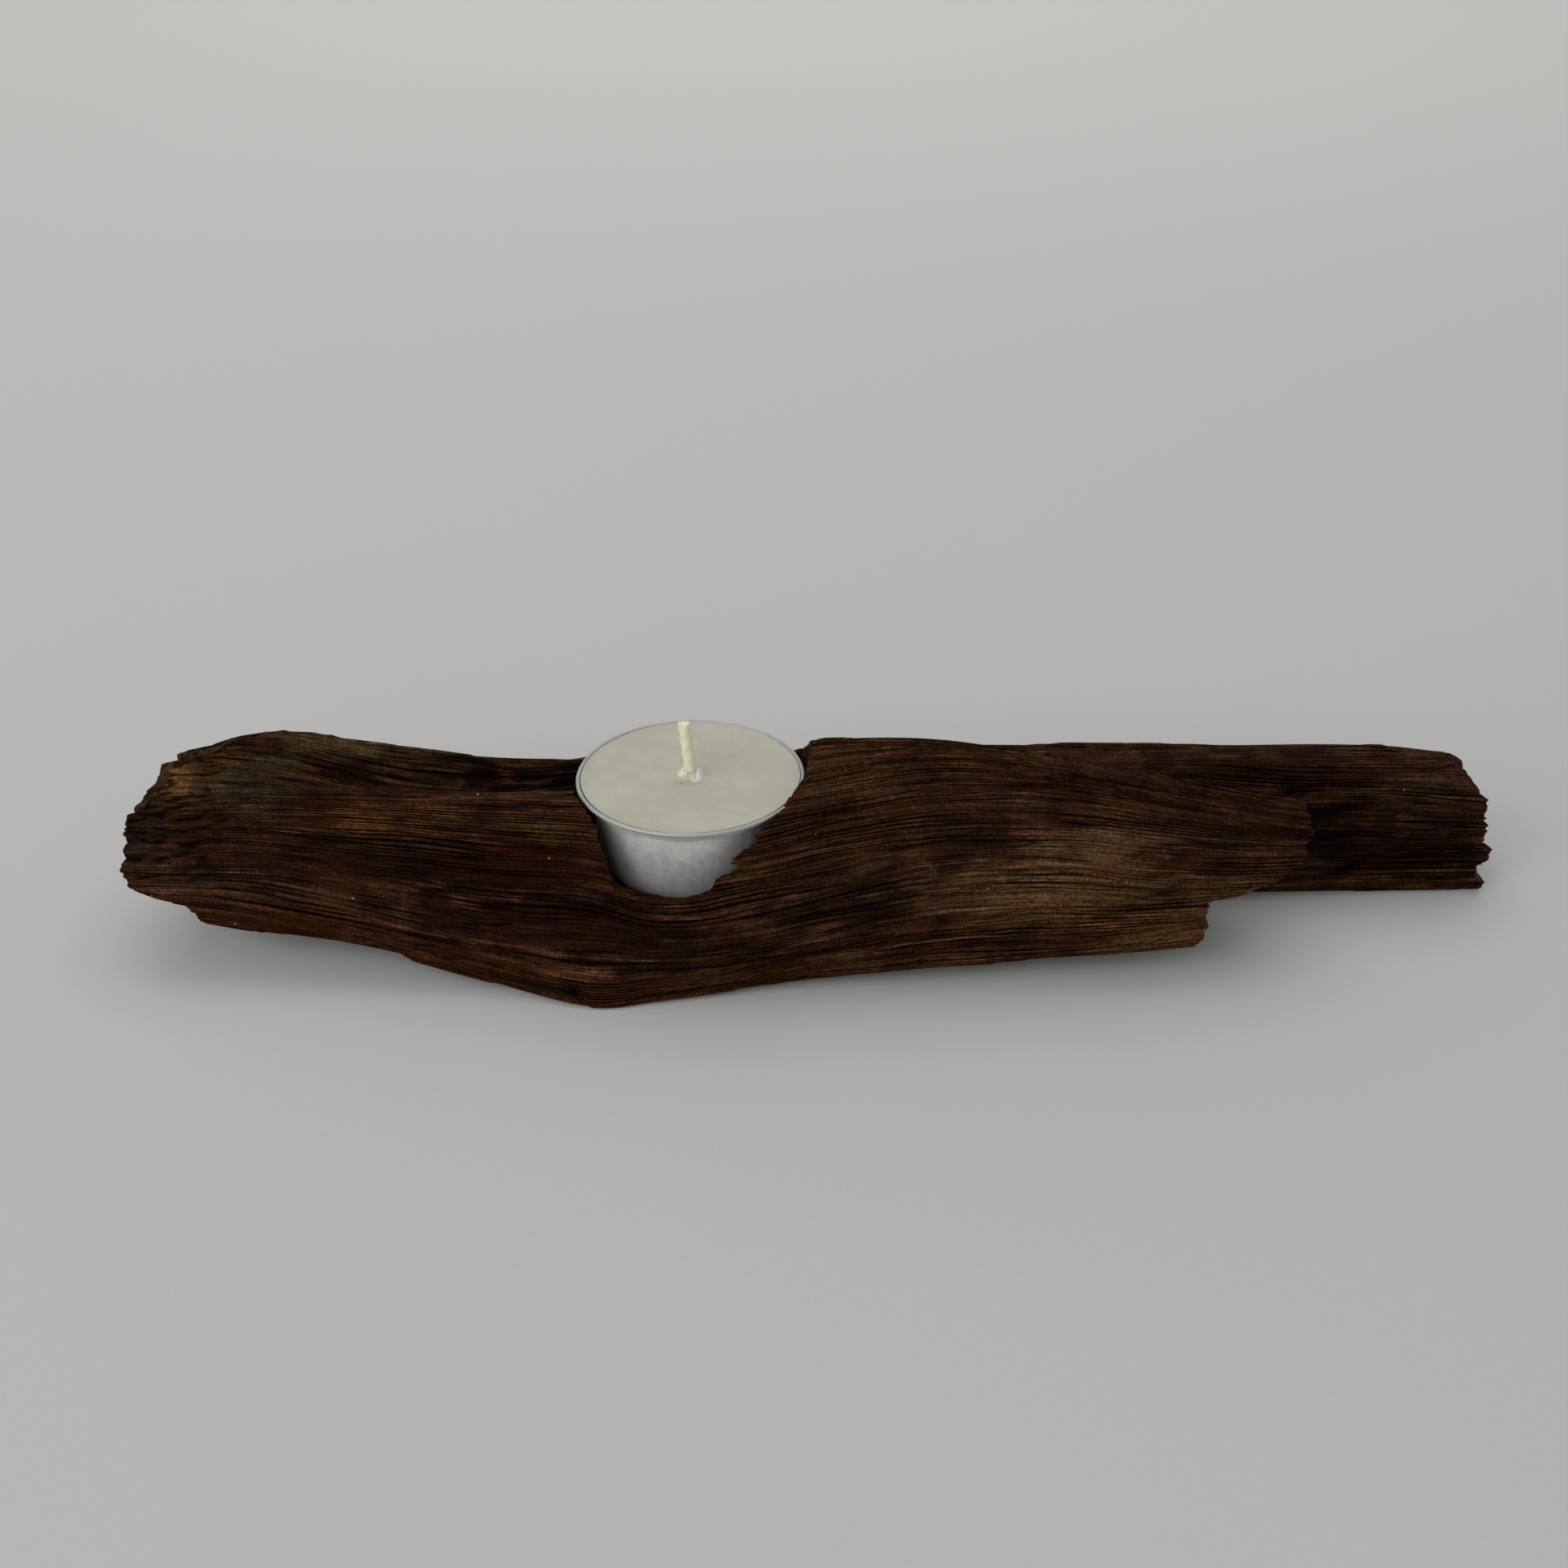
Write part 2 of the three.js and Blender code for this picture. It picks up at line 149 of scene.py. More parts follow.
REAR_RIGHT = [
    (-1, 140), (2.2, 140), (2.6, 137.8), (5.2, 138), (5.8, 139.8), (8, 140.2), (9, 138.6), (12, 140),
    (13, 138.4), (15.2, 139), (18.6, 137.6), (20, 136), (22, 133.6), (23.3, 131.4), (24.6, 128.6),
]

# How far each rail runs on past its own ends, so that every line of the grain reaches its break.
BEYOND = 5.0

# Neighbouring columns of the grid that break off together as one strip of the grain.
STRIP = 9

# Grid of each layer: rows along the grain, columns round it, and how the columns are shared out
# between one rail and the next.
MAIN_ROWS = 165
MAIN_COLUMNS = 400
MAIN_SHARES = [7, 9, 10, 10, 9, 8, 8, 8, 9, 8, 4, 5, 6]
MAIN_SEED = 3
REAR_ROWS = 120
REAR_COLUMNS = 230
REAR_SHARES = [6, 9, 9, 10, 9, 8, 5, 5, 5]
REAR_SEED = 140

# Ledges of the main layer's face: first and last rail, first and last x, and how far each stands out.
LEDGES = [
    (7.6, 10.9, -1.0, 17.4, -3.0),
    (8.0, 10.2, 17.0, 21.5, -0.5),
    (8.0, 10.2, 28.4, 33.5, -0.75),
    (8.0, 10.2, 33.5, 41.0, -0.45),
    (8.0, 10.2, 41.0, 96.0, -1.2),
    (8.3, 10.2, -62.0, -16.0, -0.35),
    (8.3, 10.2, -34.5, -16.0, -0.7),
    (4.1, 5.0, 50.0, 77.0, 0.5),
    (2.2, 2.9, 86.0, 96.0, 0.4),
    (0.2, 1.75, -90.0, -46.0, -0.8),
    (1.9, 2.4, -44.0, -28.0, -0.45),
    (5.7, 6.4, -38.0, -16.0, 0.4),
]

# The grain: from groove to groove, how deep grooves and cracks go, and how thick a flake is.
GROOVE_PITCH = 1.15
GROOVE_DEPTH = 0.55
CRACK_DEPTH = 1.0
FLAKE = 0.28

# How far the grain of the main layer climbs beside the recess, and falls again towards its end.
CLIMB = 7.5
FALL = 4

# Patches of colour on the wood, some of them painted shade in channels, hollows and on faces turned from the
# light:
# centre and reach as [x, y, z] from the tealight's axis, colour, and how much of the wood's own colour they
# cover.
TINTS_AND_PAINTED_SHADE = [
    ([-85.5, 0, 28.6], [3.6, 5, 3.2], "#7c5836", 0.65),  # bare knob
    ([-79, 0.5, 28.6], [5, 5, 2.6], "#4a301a", 0.55),
    ([-73, -1.5, 28], [9, 5, 3.6], "#453a2a", 0.6),  # lichen
    ([-66, 1.5, 30], [8, 4, 2], "#3d3324", 0.6),
    ([-89.6, -5, 21], [5, 6, 8], "#28221b", 0.7),
    ([-52.7, -8, 24.9], [8, 4, 2.6], "#6a4525", 0.75),
    ([-41, -9, 26], [8, 4, 3], "#593820", 0.7),
    ([-24, -12.6, 25.8], [10, 3, 1.3], "#6b5639", 0.4),
    ([-66, -14, 9], [21, 6, 3.4], "#35190a", 0.9),  # smooth split along the lower edge
    ([-40, -18, 5], [16, 6, 3], "#3d2110", 0.75),
    ([-8, -24, 2.5], [30, 6, 3.6], "#3d2212", 0.7),
    # Darker patches on the steep front face and its hollow: partly the wood's own colour, partly painted
    # shade where the face turns from the light.
    ([-52, -12, 19], [26, 8, 4.5], "#241208", 0.75),
    ([-28, -14, 20.5], [18, 8, 5.5], "#260f06", 0.85),
    ([-22, -19, 12], [26, 8, 5], "#1c0b05", 0.85),
    ([0, -22, 9], [18, 8, 4], "#22120a", 0.7),
    ([27, -18, 16], [17, 8, 5], "#1d1009", 0.85),
    ([30, -14, 27], [16, 8, 4], "#33200f", 0.6),
    ([58, -17, 17], [22, 7, 6], "#5d442d", 0.75),
    ([66, -12, 23.4], [14, 4, 2.6], "#6a5138", 0.6),
    ([78, -17, 9.5], [14, 6, 5.5], "#5a3f26", 0.7),
    ([88, -11, 15], [12, 6, 3], "#5c442e", 0.6),
    ([24, -7, 32], [11, 6, 3.5], "#4b3522", 0.6),
    ([96, -7.5, 23], [7, 5, 3], "#3a2718", 0.6),
    ([-48, 8.5, 30.4], [30, 4, 2.4], "#5a4c36", 0.75),
    # Painted shade: near-black patches in the channel behind the front ridge, at the foot of the rear wall.
    ([-22, 5.2, 25], [30, 5, 3.2], "#080402", 0.95),
    ([-54, 3.6, 26.8], [14, 3, 2.4], "#0f0704", 0.85),
    ([127, 10, 21.5], [13, 8, 3.6], "#38261a", 0.7),
    # Painted shade on the rear layer: close behind the front layer's torn end, in the hollow beside that end,
    # and under its brow.
    ([96, 12, 23], [24, 8, 3], "#22110a", 0.75),
    ([107, 7, 13], [12, 6, 8], "#080403", 0.95),
    ([122, 8, 8], [24, 8, 7], "#190c06", 0.85),
]


def smooth(low, high, value):
    """Eases from 0 at low to 1 at high, which may be the smaller of the two."""
    t = np.clip((value - low) / (high - low), 0, 1)
    return t * t * (3 - 2 * t)


def through(points, t, closed=False):
    """Points at t, 0 to 1, of the uniform Catmull-Rom curve through the first axis of points."""
    spans = len(points) if closed else len(points) - 1
    place = np.clip(t, 0, 1) * spans
    start = np.minimum(place.astype(int), spans - 1)
    f = (place - start).reshape(-1, *[1] * (points.ndim - 1))
    if closed:
        p0, p1, p2, p3 = (points[(start + k) % len(points)] for k in (-1, 0, 1, 2))
    else:
        ends = np.concatenate([[2 * points[0] - points[1]], points, [2 * points[-1] - points[-2]]])
        p0, p1, p2, p3 = (ends[start + k] for k in (0, 1, 2, 3))
    return (p1 + 0.5 * f * (p2 - p0)
            + f**2 * (p0 - 2.5 * p1 + 2 * p2 - 0.5 * p3)
            + 0.5 * f**3 * (3 * p1 - 3 * p2 + p3 - p0))


def noise(along, turn, pitch_along, pitch_round, girth, seed):
    """Smooth noise of about -1 to 1 that closes round the section. along is in millimetres and
    turn is the part of the way round; a cell measures pitch_along by pitch_round."""
    rng = np.random.default_rng(seed)
    columns = max(3, round(girth / pitch_round))
    x = (along - along.min()) / pitch_along
    y = (turn % 1.0) * columns
    angle = rng.uniform(0, 2 * np.pi, (int(x.max()) + 2, columns))
    i, j = np.floor(x).astype(int), np.floor(y).astype(int)
    fx, fy = x - i, y - j
    total = np.zeros_like(x)
    for di in (0, 1):
        for dj in (0, 1):
            corner = angle[i + di, (j + dj) % columns]
            weight = smooth(0, 1, 1 - abs(fx - di)) * smooth(0, 1, 1 - abs(fy - dj))
            total += weight * (np.cos(corner) * (fx - di) + np.sin(corner) * (fy - dj))
    return 1.5 * total


class Layer:
    """One layer of the wood as a grid of points: rows along the grain, columns round it."""

    def __init__(self, stations, rails, rows, turn, seed):
        self.seed, self.rows, self.turn, self.rails = seed, rows, turn, len(rails)
        rails = np.array([
            [rail[0]] + [[x, *point] for x, point in zip(stations, rail[1:-1])] + [rail[-1]]
            for rail in rails
        ], float)
        rails[:, 0, 0] -= BEYOND
        rails[:, -1, 0] += BEYOND
        self.fine_t = np.linspace(0, 1, rows * 4)
        lines = through(rails.transpose(1, 0, 2), self.fine_t)
        self.fine = through(lines.transpose(1, 0, 2), turn, closed=True).transpose(1, 0, 2)

    def run(self, start, end):
        """Sets the grid, where each column runs from its own t in start to its own t in end."""
        t = start + np.linspace(0, 1, self.rows)[:, None] * (end - start)
        place = t * (len(self.fine_t) - 1)
        i = np.minimum(place.astype(int), len(self.fine_t) - 2)
        f = (place - i)[..., None]
        j = np.arange(self.fine.shape[1])[None, :]
        self.points = self.fine[i, j] * (1 - f) + self.fine[i + 1, j] * f
        steps = np.linalg.norm(np.diff(self.points, axis=0), axis=2)
        self.along = np.concatenate([np.zeros((1, steps.shape[1])), np.cumsum(steps, axis=0)])
        self.along += self.points[0, :, 0] - self.points[0, :, 0].min()
        around = np.linalg.norm(np.roll(self.points, -1, axis=1) - self.points, axis=2)
        self.girth = float(np.median(around.sum(axis=1)))
        self.turns = np.broadcast_to(self.turn[None, :], self.along.shape)

    def passed(self, ends, ragged, threads, seed, right):
        """The t at which each column crosses the x that ends gives for its height. Strips of the
        grain stop up to ragged earlier or later, and its threads up to threads."""
        rng = np.random.default_rng(seed)
        count = len(self.turn)
        bounds = np.arange(0, count + STRIP, STRIP)
        shift = ragged * np.interp(np.arange(count), bounds, rng.uniform(-1, 1, len(bounds)))
        shift += threads * rng.uniform(-1, 1, count // 3 + 1).repeat(3)[:count]
        over = self.fine[..., 0] - np.interp(self.fine[..., 2], *zip(*ends)) - shift
        if right:
            hit = np.where((over > 0).any(axis=0), (over > 0).argmax(axis=0), len(self.fine_t) - 1)
        else:
            last = len(self.fine_t) - 1 - (over[::-1] < 0).argmax(axis=0)
            hit = np.where((over < 0).any(axis=0), last, 0)
        return self.fine_t[hit]

    def noise(self, pitch_along, pitch_round, seed, turns=None):
        turns = self.turns if turns is None else turns
        return noise(self.along, turns, pitch_along, pitch_round, self.girth, self.seed + seed)

    def normals(self):
        forward = np.gradient(self.points, axis=0)
        round_ = np.roll(self.points, -1, axis=1) - np.roll(self.points, 1, axis=1)
        normal = np.cross(forward, round_)
        return normal / np.maximum(np.linalg.norm(normal, axis=2, keepdims=True), 1e-9)


def spread(rails, weights, count):
    """count columns round a section of that many rails, with more of them where weights say."""
    edges = np.concatenate([[0], np.cumsum(weights)])
    return np.interp(np.arange(count) / count * edges[-1], edges, np.arange(rails + 1)) / rails


def grooved(layer):
    """Shape of the grooves, 1 in the middle of each. Keeps their phase and depth with the layer."""
    lines = layer.grain_turns
    layer.grooves = round(layer.girth / GROOVE_PITCH)
    layer.phase = layer.grooves * lines + 1.1 * layer.noise(60, 6, 2, lines)
    layer.phase = layer.phase + 0.3 * layer.noise(14, 2.6, 3, lines)
    rough = smooth(-0.5, 0.35, layer.noise(36, 9, 6))
    layer.depth = 0.2 + 0.8 * smooth(-0.45, 0.45, layer.noise(30, 2.1, 4, lines))
    layer.depth = layer.depth * (0.25 + 0.75 * rough)
    return (1 - abs(np.sin(np.pi * layer.phase))) ** 1.5


def cracked(layer):
    """Narrow cracks along the grain, 1 in the middle of each."""
    split = layer.noise(50, 7.5, 8, layer.grain_turns)
    return np.clip(1 - 24 * abs(split), 0, 1) * smooth(0.25, 0.5, layer.noise(24, 8, 9))


def flaked(layer):
    """Height of the long flakes that still cling to the face."""
    flake = layer.noise(30, 3.4, 10, layer.grain_turns) + 0.12 * layer.noise(2.4, 0.7, 11, layer.grain_turns)
    return FLAKE * smooth(0.12, 0.15, flake) + FLAKE * smooth(0.36, 0.39, flake)


def lumped(layer):
    """Height of the lumps that cover the worn end."""
    lumps = 1.1 * abs(layer.noise(7, 6.5, 12)) + 0.8 * abs(layer.noise(3.4, 3.0, 13))
    return lumps + 0.2 * layer.noise(1.5, 1.3, 14) - 0.5


def relief(layer, knots, ledges, fan):
    """Height of the grain above the smooth layer. Keeps the depth of the grooves, and the painted shade of
    cracks and of the hollows between lumps, with the layer. fan is how far each line of the grain has
    climbed."""
    wander = 0.8 * layer.noise(32, 9, 0) + 0.25 * layer.noise(11, 4, 1)
    layer.grain_turns = layer.turns + (wander - fan) / layer.girth
    swell = 0.35 * layer.noise(42, 11, 5) + 0.2 * layer.noise(60, 3.2, 7, layer.grain_turns)
    valley = grooved(layer)
    cracks = cracked(layer)
    lumps = lumped(layer)
    plain = 1 - knots
    height = swell + ledged(layer, ledges) + lumps * knots
    height += (flaked(layer) - GROOVE_DEPTH * valley * layer.depth - CRACK_DEPTH * cracks) * plain
    layer.depth = layer.depth * (1 - 0.75 * knots)
    # Painted shade: cracks and the hollows between lumps are darkened in colour.
    layer.dark = 0.9 * cracks * plain + knots * smooth(0.0, -0.35, lumps)
    return height


def ledged(layer, ledges):
    """Height of the ledges, whose edges are ragged along and across the grain."""
    x = layer.points[..., 0] + 1.3 * layer.noise(30, 1.4, 40, layer.grain_turns) + 0.4 * layer.noise(2, 2, 41)
    rail = layer.grain_turns * layer.rails + 0.14 * layer.noise(7, 3, 42) + 0.05 * layer.noise(1.8, 1.5, 43)
    height = np.zeros_like(x)
    for first, last, left, right, out in ledges:
        across = smooth(first - 0.04, first + 0.04, rail) * smooth(last + 0.04, last - 0.04, rail)
        height += out * across * smooth(left - 0.3, left + 0.3, x) * smooth(right + 0.3, right - 0.3, x)
    return height


def linear(code):
    """Linear colour of a hexadecimal one."""
    parts = [int(code[k:k + 2], 16) / 255 for k in (1, 3, 5)]
    return [c / 12.92 if c <= 0.04045 else ((c + 0.055) / 1.055) ** 2.4 for c in parts] + [1.0]


def tinted_and_shaded(layer):
    """Colour patches of a layer, some of them painted shade, with ragged edges along the grain; alpha says
    how much they cover.
    """
    ragged = 0.4 * layer.noise(12, 1.3, 30, layer.grain_turns) + 0.35 * layer.noise(5, 4, 31)
    ragged += 0.25 * layer.noise(1.8, 1.5, 32)
    colour = np.zeros(layer.along.shape + (4,))
    for centre, reach, code, cover in TINTS_AND_PAINTED_SHADE:
        away = np.linalg.norm((layer.points - centre) / reach, axis=2) + ragged
        share = cover * smooth(1.25, 0.5, away)[..., None]
        wanted = np.array(linear(code))
        over = share + colour[..., 3:] * (1 - share)
        blend = share * wanted[:3] + colour[..., :3] * colour[..., 3:] * (1 - share)
        colour[..., :3] = blend / np.maximum(over, 1e-6)
        colour[..., 3:] = over
    return colour


def capped(layer, end, ends, rings, dome, rough, pitch, seed):
    """Rings from one end row of the layer to its middle, broken across the grain. ends gives the
    x of the break for each height."""
    row = layer.points[end]
    middle = row.mean(axis=0)
    side = -1 if end == 0 else 1
    share = (np.arange(1, rings + 1) / rings)[:, None, None] * 0.995
    ring = row[None] + (middle - row)[None] * share
    y, z = ring[..., 1], ring[..., 2]
    spikes = noise(y, z / 60, pitch, 0.85 * pitch, 60, seed)
    spikes += 0.7 * noise(y, z / 60, 2.7 * pitch, 2.3 * pitch, 60, seed + 1)
    inward = smooth(0, 0.3, share[..., 0])
    if ends:
        ring[..., 0] = row[None, :, 0] * (1 - inward) + np.interp(z, *zip(*ends)) * inward
    ring[..., 0] += side * (dome * inward + rough * (spikes - 0.4) * (0.3 + 0.7 * inward))
    return ring


def wood_mesh(name, layer, caps):
    """Closed mesh of a layer, with the grain's coordinates, grooves and colours as attributes."""
    rows, columns = layer.points.shape[:2]
    left, right = caps
    grid = np.concatenate([left[::-1], layer.points, right])
    total = len(grid)
    points = (grid + AXIS).reshape(-1, 3) * MM
    points = np.concatenate([points, [points[:columns].mean(axis=0), points[-columns:].mean(axis=0)]])
    index = np.arange(total * columns).reshape(total, columns)
    onward = np.roll(index, -1, axis=1)
    quads = np.stack([index[:-1], index[1:], onward[1:], onward[:-1]], axis=-1).reshape(-1, 4)
    low, high = total * columns, total * columns + 1
    faces = [tuple(q) for q in quads.tolist()]
    faces += [(low, a, b) for a, b in zip(index[0].tolist(), onward[0].tolist())]
    faces += [(high, b, a) for a, b in zip(index[-1].tolist(), onward[-1].tolist())]
    mesh = bpy.data.meshes.new(name)
    mesh.from_pydata(points.tolist(), [], faces)

    def mark(name, values, turn=0.0):
        """Writes values of the layer's points to the corners of all faces; turn is added once round."""
        first = np.repeat(values[:1], len(left), axis=0)
        values = np.concatenate([first, values, np.repeat(values[-1:], len(right), axis=0)])
        values = values.reshape(total, columns, -1)
        wide = np.concatenate([values, values[:, :1] + turn], axis=1)
        around = np.stack([wide[:-1, :-1], wide[1:, :-1], wide[1:, 1:], wide[:-1, 1:]], axis=2)
        start = np.stack([wide[0, :-1], wide[0, :-1], wide[0, 1:]], axis=1)
        finish = np.stack([wide[-1, :-1], wide[-1, 1:], wide[-1, :-1]], axis=1)
        corners = [part.reshape(-1, values.shape[-1]) for part in (around, start, finish)]
        write(mesh, name, np.concatenate(corners))

    across = layer.grain_turns * layer.girth
    which = np.full_like(layer.along, layer.seed)
    mark("grain", np.stack([layer.along, across, which], axis=-1), [0, layer.girth, 0])
    mark("phase", layer.phase, layer.grooves)
    mark("depth", layer.depth)
    mark("dark", layer.dark)
    mark("tint_and_shade", tinted_and_shaded(layer))
    broken = np.ones(len(mesh.loops))
    broken[4 * len(left) * columns:4 * (len(left) + rows - 1) * columns] = 0
    write(mesh, "broken", broken)
    return mesh


# Kind and field of an attribute, by how many numbers a value has.
KINDS = {1: ("FLOAT", "value"), 3: ("FLOAT_VECTOR", "vector"), 4: ("FLOAT_COLOR", "color")}


def write(mesh, name, values):
    """Writes one value per face corner as an attribute, so that a cut keeps it exact."""
    values = np.asarray(values, np.float32).reshape(len(mesh.loops), -1)
    kind, field = KINDS[values.shape[1]]
    attribute = mesh.attributes.new(name, kind, "CORNER")
    attribute.data.foreach_set(field, values.ravel())


def place(name, mesh):
    thing = bpy.data.objects.new(name, mesh)
    bpy.context.scene.collection.objects.link(thing)
    return thing


def cut(thing, other, operation):
    """Joins other to thing or cuts it away, and deletes other."""
    change = thing.modifiers.new(operation, "BOOLEAN")
    change.operation = operation
    change.solver = "MANIFOLD"
    change.object = other
    bpy.context.view_layer.update()
    graph = bpy.context.evaluated_depsgraph_get()
    made = bpy.data.meshes.new_from_object(thing.evaluated_get(graph))
    thing.modifiers.clear()
    thing.data = made
    bpy.data.objects.remove(other)


def main_layer():
    """The front layer, whose left end is worn to lumps and whose grain fans out beside the recess."""
    turn = spread(len(MAIN_RAILS), MAIN_SHARES, MAIN_COLUMNS)
    layer = Layer(MAIN_X, MAIN_RAILS, MAIN_ROWS, turn, MAIN_SEED)
    start = layer.passed(MAIN_LEFT, 0.9, 0.05, 60, False)
    layer.run(start, layer.passed(MAIN_RIGHT, 0.35, 0.15, 61, True))
    x, z = layer.points[..., 0], layer.points[..., 2]
    loose = x + 4 * layer.noise(9, 7, 20)
    knots = smooth(-66, -84, loose) * smooth(13, 20, z)
    knots = np.maximum(knots, smooth(-83, -89, loose))
    rail = layer.turns * layer.rails
    fan = (CLIMB * smooth(0, 46, x) - FALL * smooth(50, 96, x)) * smooth(1, 4.4, rail)
    fan = fan * smooth(9.6, 6.2, rail)
    height = relief(layer, knots, LEDGES, fan)
    layer.points = layer.points + layer.normals() * height[..., None]
    return layer


def rear_layer():
    """The thinner layer behind it, which runs on past its right end."""
    turn = spread(len(REAR_RAILS), REAR_SHARES, REAR_COLUMNS)
    layer = Layer(REAR_X, REAR_RAILS, REAR_ROWS, turn, REAR_SEED)
    layer.run(np.zeros(REAR_COLUMNS), layer.passed(REAR_RIGHT, 0.7, 0.3, 62, True))
    still = np.zeros_like(layer.along)
    height = relief(layer, still, [], still)
    layer.points = layer.points + layer.normals() * height[..., None]
    return layer


def lathe(outline, segments, wobble=None):
    """Points and faces of a solid of revolution about the tealight's axis. The outline is
    [radius, z] points from the axis round to the axis again, or a closed loop."""
    turn = np.arange(segments) / segments * 2 * np.pi
    points, rows = [], []
    for radius, z in outline:
        if radius == 0:
            rows.append([len(points)] * segments)
            points.append([0, 0, z])
        else:
            rows.append(list(range(len(points), len(points) + segments)))
            for a in turn:
                r, h = wobble(radius, a, z) if wobble else (radius, z)
                points.append([r * math.cos(a), r * math.sin(a), h])
    faces = []
    for i, row in enumerate(rows):
        above = rows[(i + 1) % len(rows)]
        for j in range(segments):
            k = (j + 1) % segments
            corners = [row[j], row[k], above[k], above[j]]
            face = [c for n, c in enumerate(corners) if c != corners[n - 1]]
            if len(face) > 2:
                faces.append(face)
    return np.array(points, float), faces


def mesh_of(name, points, faces):
    mesh = bpy.data.meshes.new(name)
    mesh.from_pydata(((np.asarray(points) + AXIS) * MM).tolist(), [], faces)
    return mesh


def cutter(name, points, faces):
    """A cutting tool, whose marks the wood keeps as the attribute drilled."""
    mesh = mesh_of(name, points, faces)
    write(mesh, "drilled", np.ones(len(mesh.loops)))
    return place(name, mesh)


def bore_cutter():
    """The drill that made the recess: its wall is scored and its floor is a little uneven."""
    heights = [BORE_FLOOR_Z + 0.3 * k for k in range(75)]
    radii = np.linspace(0, BORE_R, 26)[1:-1]

    def wobble(radius, a, z):
        score = 0.1 * math.sin(7 * a + 1.3 * z) + 0.12 * math.sin(23 * a - 4.1 * z)
        score += 0.1 * math.sin(9.7 * z)
        edge = smooth(BORE_R - 1.5, BORE_R, radius)
        return radius + edge * score, z + 0.12 * math.sin(2.1 * radius + 3 * a) * (1 - edge)

    outline = [[0, BORE_FLOOR_Z]] + [[r, BORE_FLOOR_Z] for r in radii]
    outline += [[BORE_R, z] for z in heights] + [[BORE_R, BORE_TOP_Z], [0, BORE_TOP_Z]]
    points, faces = lathe(outline, 200, wobble)
    points[:, 0] += BORE_X
    return cutter("bore", points, faces)


def box(low, high):
    (x0, y0, z0), (x1, y1, z1) = low, high
    points = np.array([[x, y, z] for z in (z0, z1) for y in (y0, y1) for x in (x0, x1)], float)
    faces = [(0, 2, 3, 1), (4, 5, 7, 6), (0, 1, 5, 4), (2, 6, 7, 3), (0, 4, 6, 2), (1, 3, 7, 5)]
    return points, faces


# The broken lip: its reach in x and y, and the height that is left of it.
LIP_LEFT = -14.2
LIP_RIGHT = 7.8
LIP_FRONT = -29
LIP_BACK = -11
LIP_Z = 17.4


def lip_cutter():
    """Broken edge of the recess in front of the tealight: a rough slab that removes the thin lip."""
    columns, rows = 60, 30
    x = np.linspace(LIP_LEFT, LIP_RIGHT, columns)
    y = np.linspace(LIP_FRONT, LIP_BACK, rows)
    gx, gy = np.meshgrid(x, y)
    edge = smooth(LIP_LEFT, -11.5, gx) * smooth(LIP_RIGHT, 3.4, gx)
    rough = noise(gx, gy / 60, 1.4, 0.9, 60, 21) * 0.18 + noise(gx, gy / 60, 5, 3, 60, 22) * 0.35
    floor = LIP_Z + 7 * (1 - edge) + 1.3 * smooth(-1.5, 5, gx) + 0.12 * (gy + 20) + rough
    low = np.stack([gx, gy, floor], axis=-1).reshape(-1, 3)
    high = low.copy()
    high[:, 2] = BORE_TOP_Z
    index = np.arange(columns * rows).reshape(rows, columns)
    faces = []
    for i in range(rows - 1):
        for j in range(columns - 1):
            quad = [index[i, j], index[i + 1, j], index[i + 1, j + 1], index[i, j + 1]]
            faces.append(quad)
            faces.append([c + columns * rows for c in quad[::-1]])
    rim = list(index[0]) + list(index[1:, -1]) + list(index[-1, -2::-1]) + list(index[-2:0:-1, 0])
    for a, b in zip(rim, rim[1:] + rim[:1]):
        faces.append([a, b, b + columns * rows, a + columns * rows])
    return cutter("lip", np.concatenate([low, high]), [[int(c) for c in f] for f in faces])


def wood_piece():
    """Both layers as one solid, levelled at the table, with the recess and the broken lip cut out."""
    main, rear = main_layer(), rear_layer()
    main_left = capped(main, 0, MAIN_LEFT, rings=8, dome=0.4, rough=1.3, pitch=2.2, seed=5)
    main_right = capped(main, -1, MAIN_RIGHT, rings=8, dome=0, rough=0.5, pitch=1.1, seed=6)
    rear_left = capped(rear, 0, None, rings=2, dome=0.5, rough=0.2, pitch=1.2, seed=7)
    rear_right = capped(rear, -1, REAR_RIGHT, rings=8, dome=0, rough=0.8, pitch=1.2, seed=8)
    wood = place("driftwood", wood_mesh("driftwood", main, (main_left, main_right)))
    other = place("rear_layer", wood_mesh("rear_layer", rear, (rear_left, rear_right)))
    cut(wood, other, "UNION")
    cut(wood, cutter("table", *box((-150, -60, -30), (200, 80, 0))), "DIFFERENCE")
    cut(wood, bore_cutter(), "DIFFERENCE")
    cut(wood, lip_cutter(), "DIFFERENCE")
    soften(wood.data, 48)
    return wood


def soften(mesh, degrees):
    """Smooth shading, with edges over that angle kept sharp."""
    mesh.polygons.foreach_set("use_smooth", [True] * len(mesh.polygons))
    mesh.set_sharp_from_angle(angle=math.radians(degrees))


# ---- materials ----

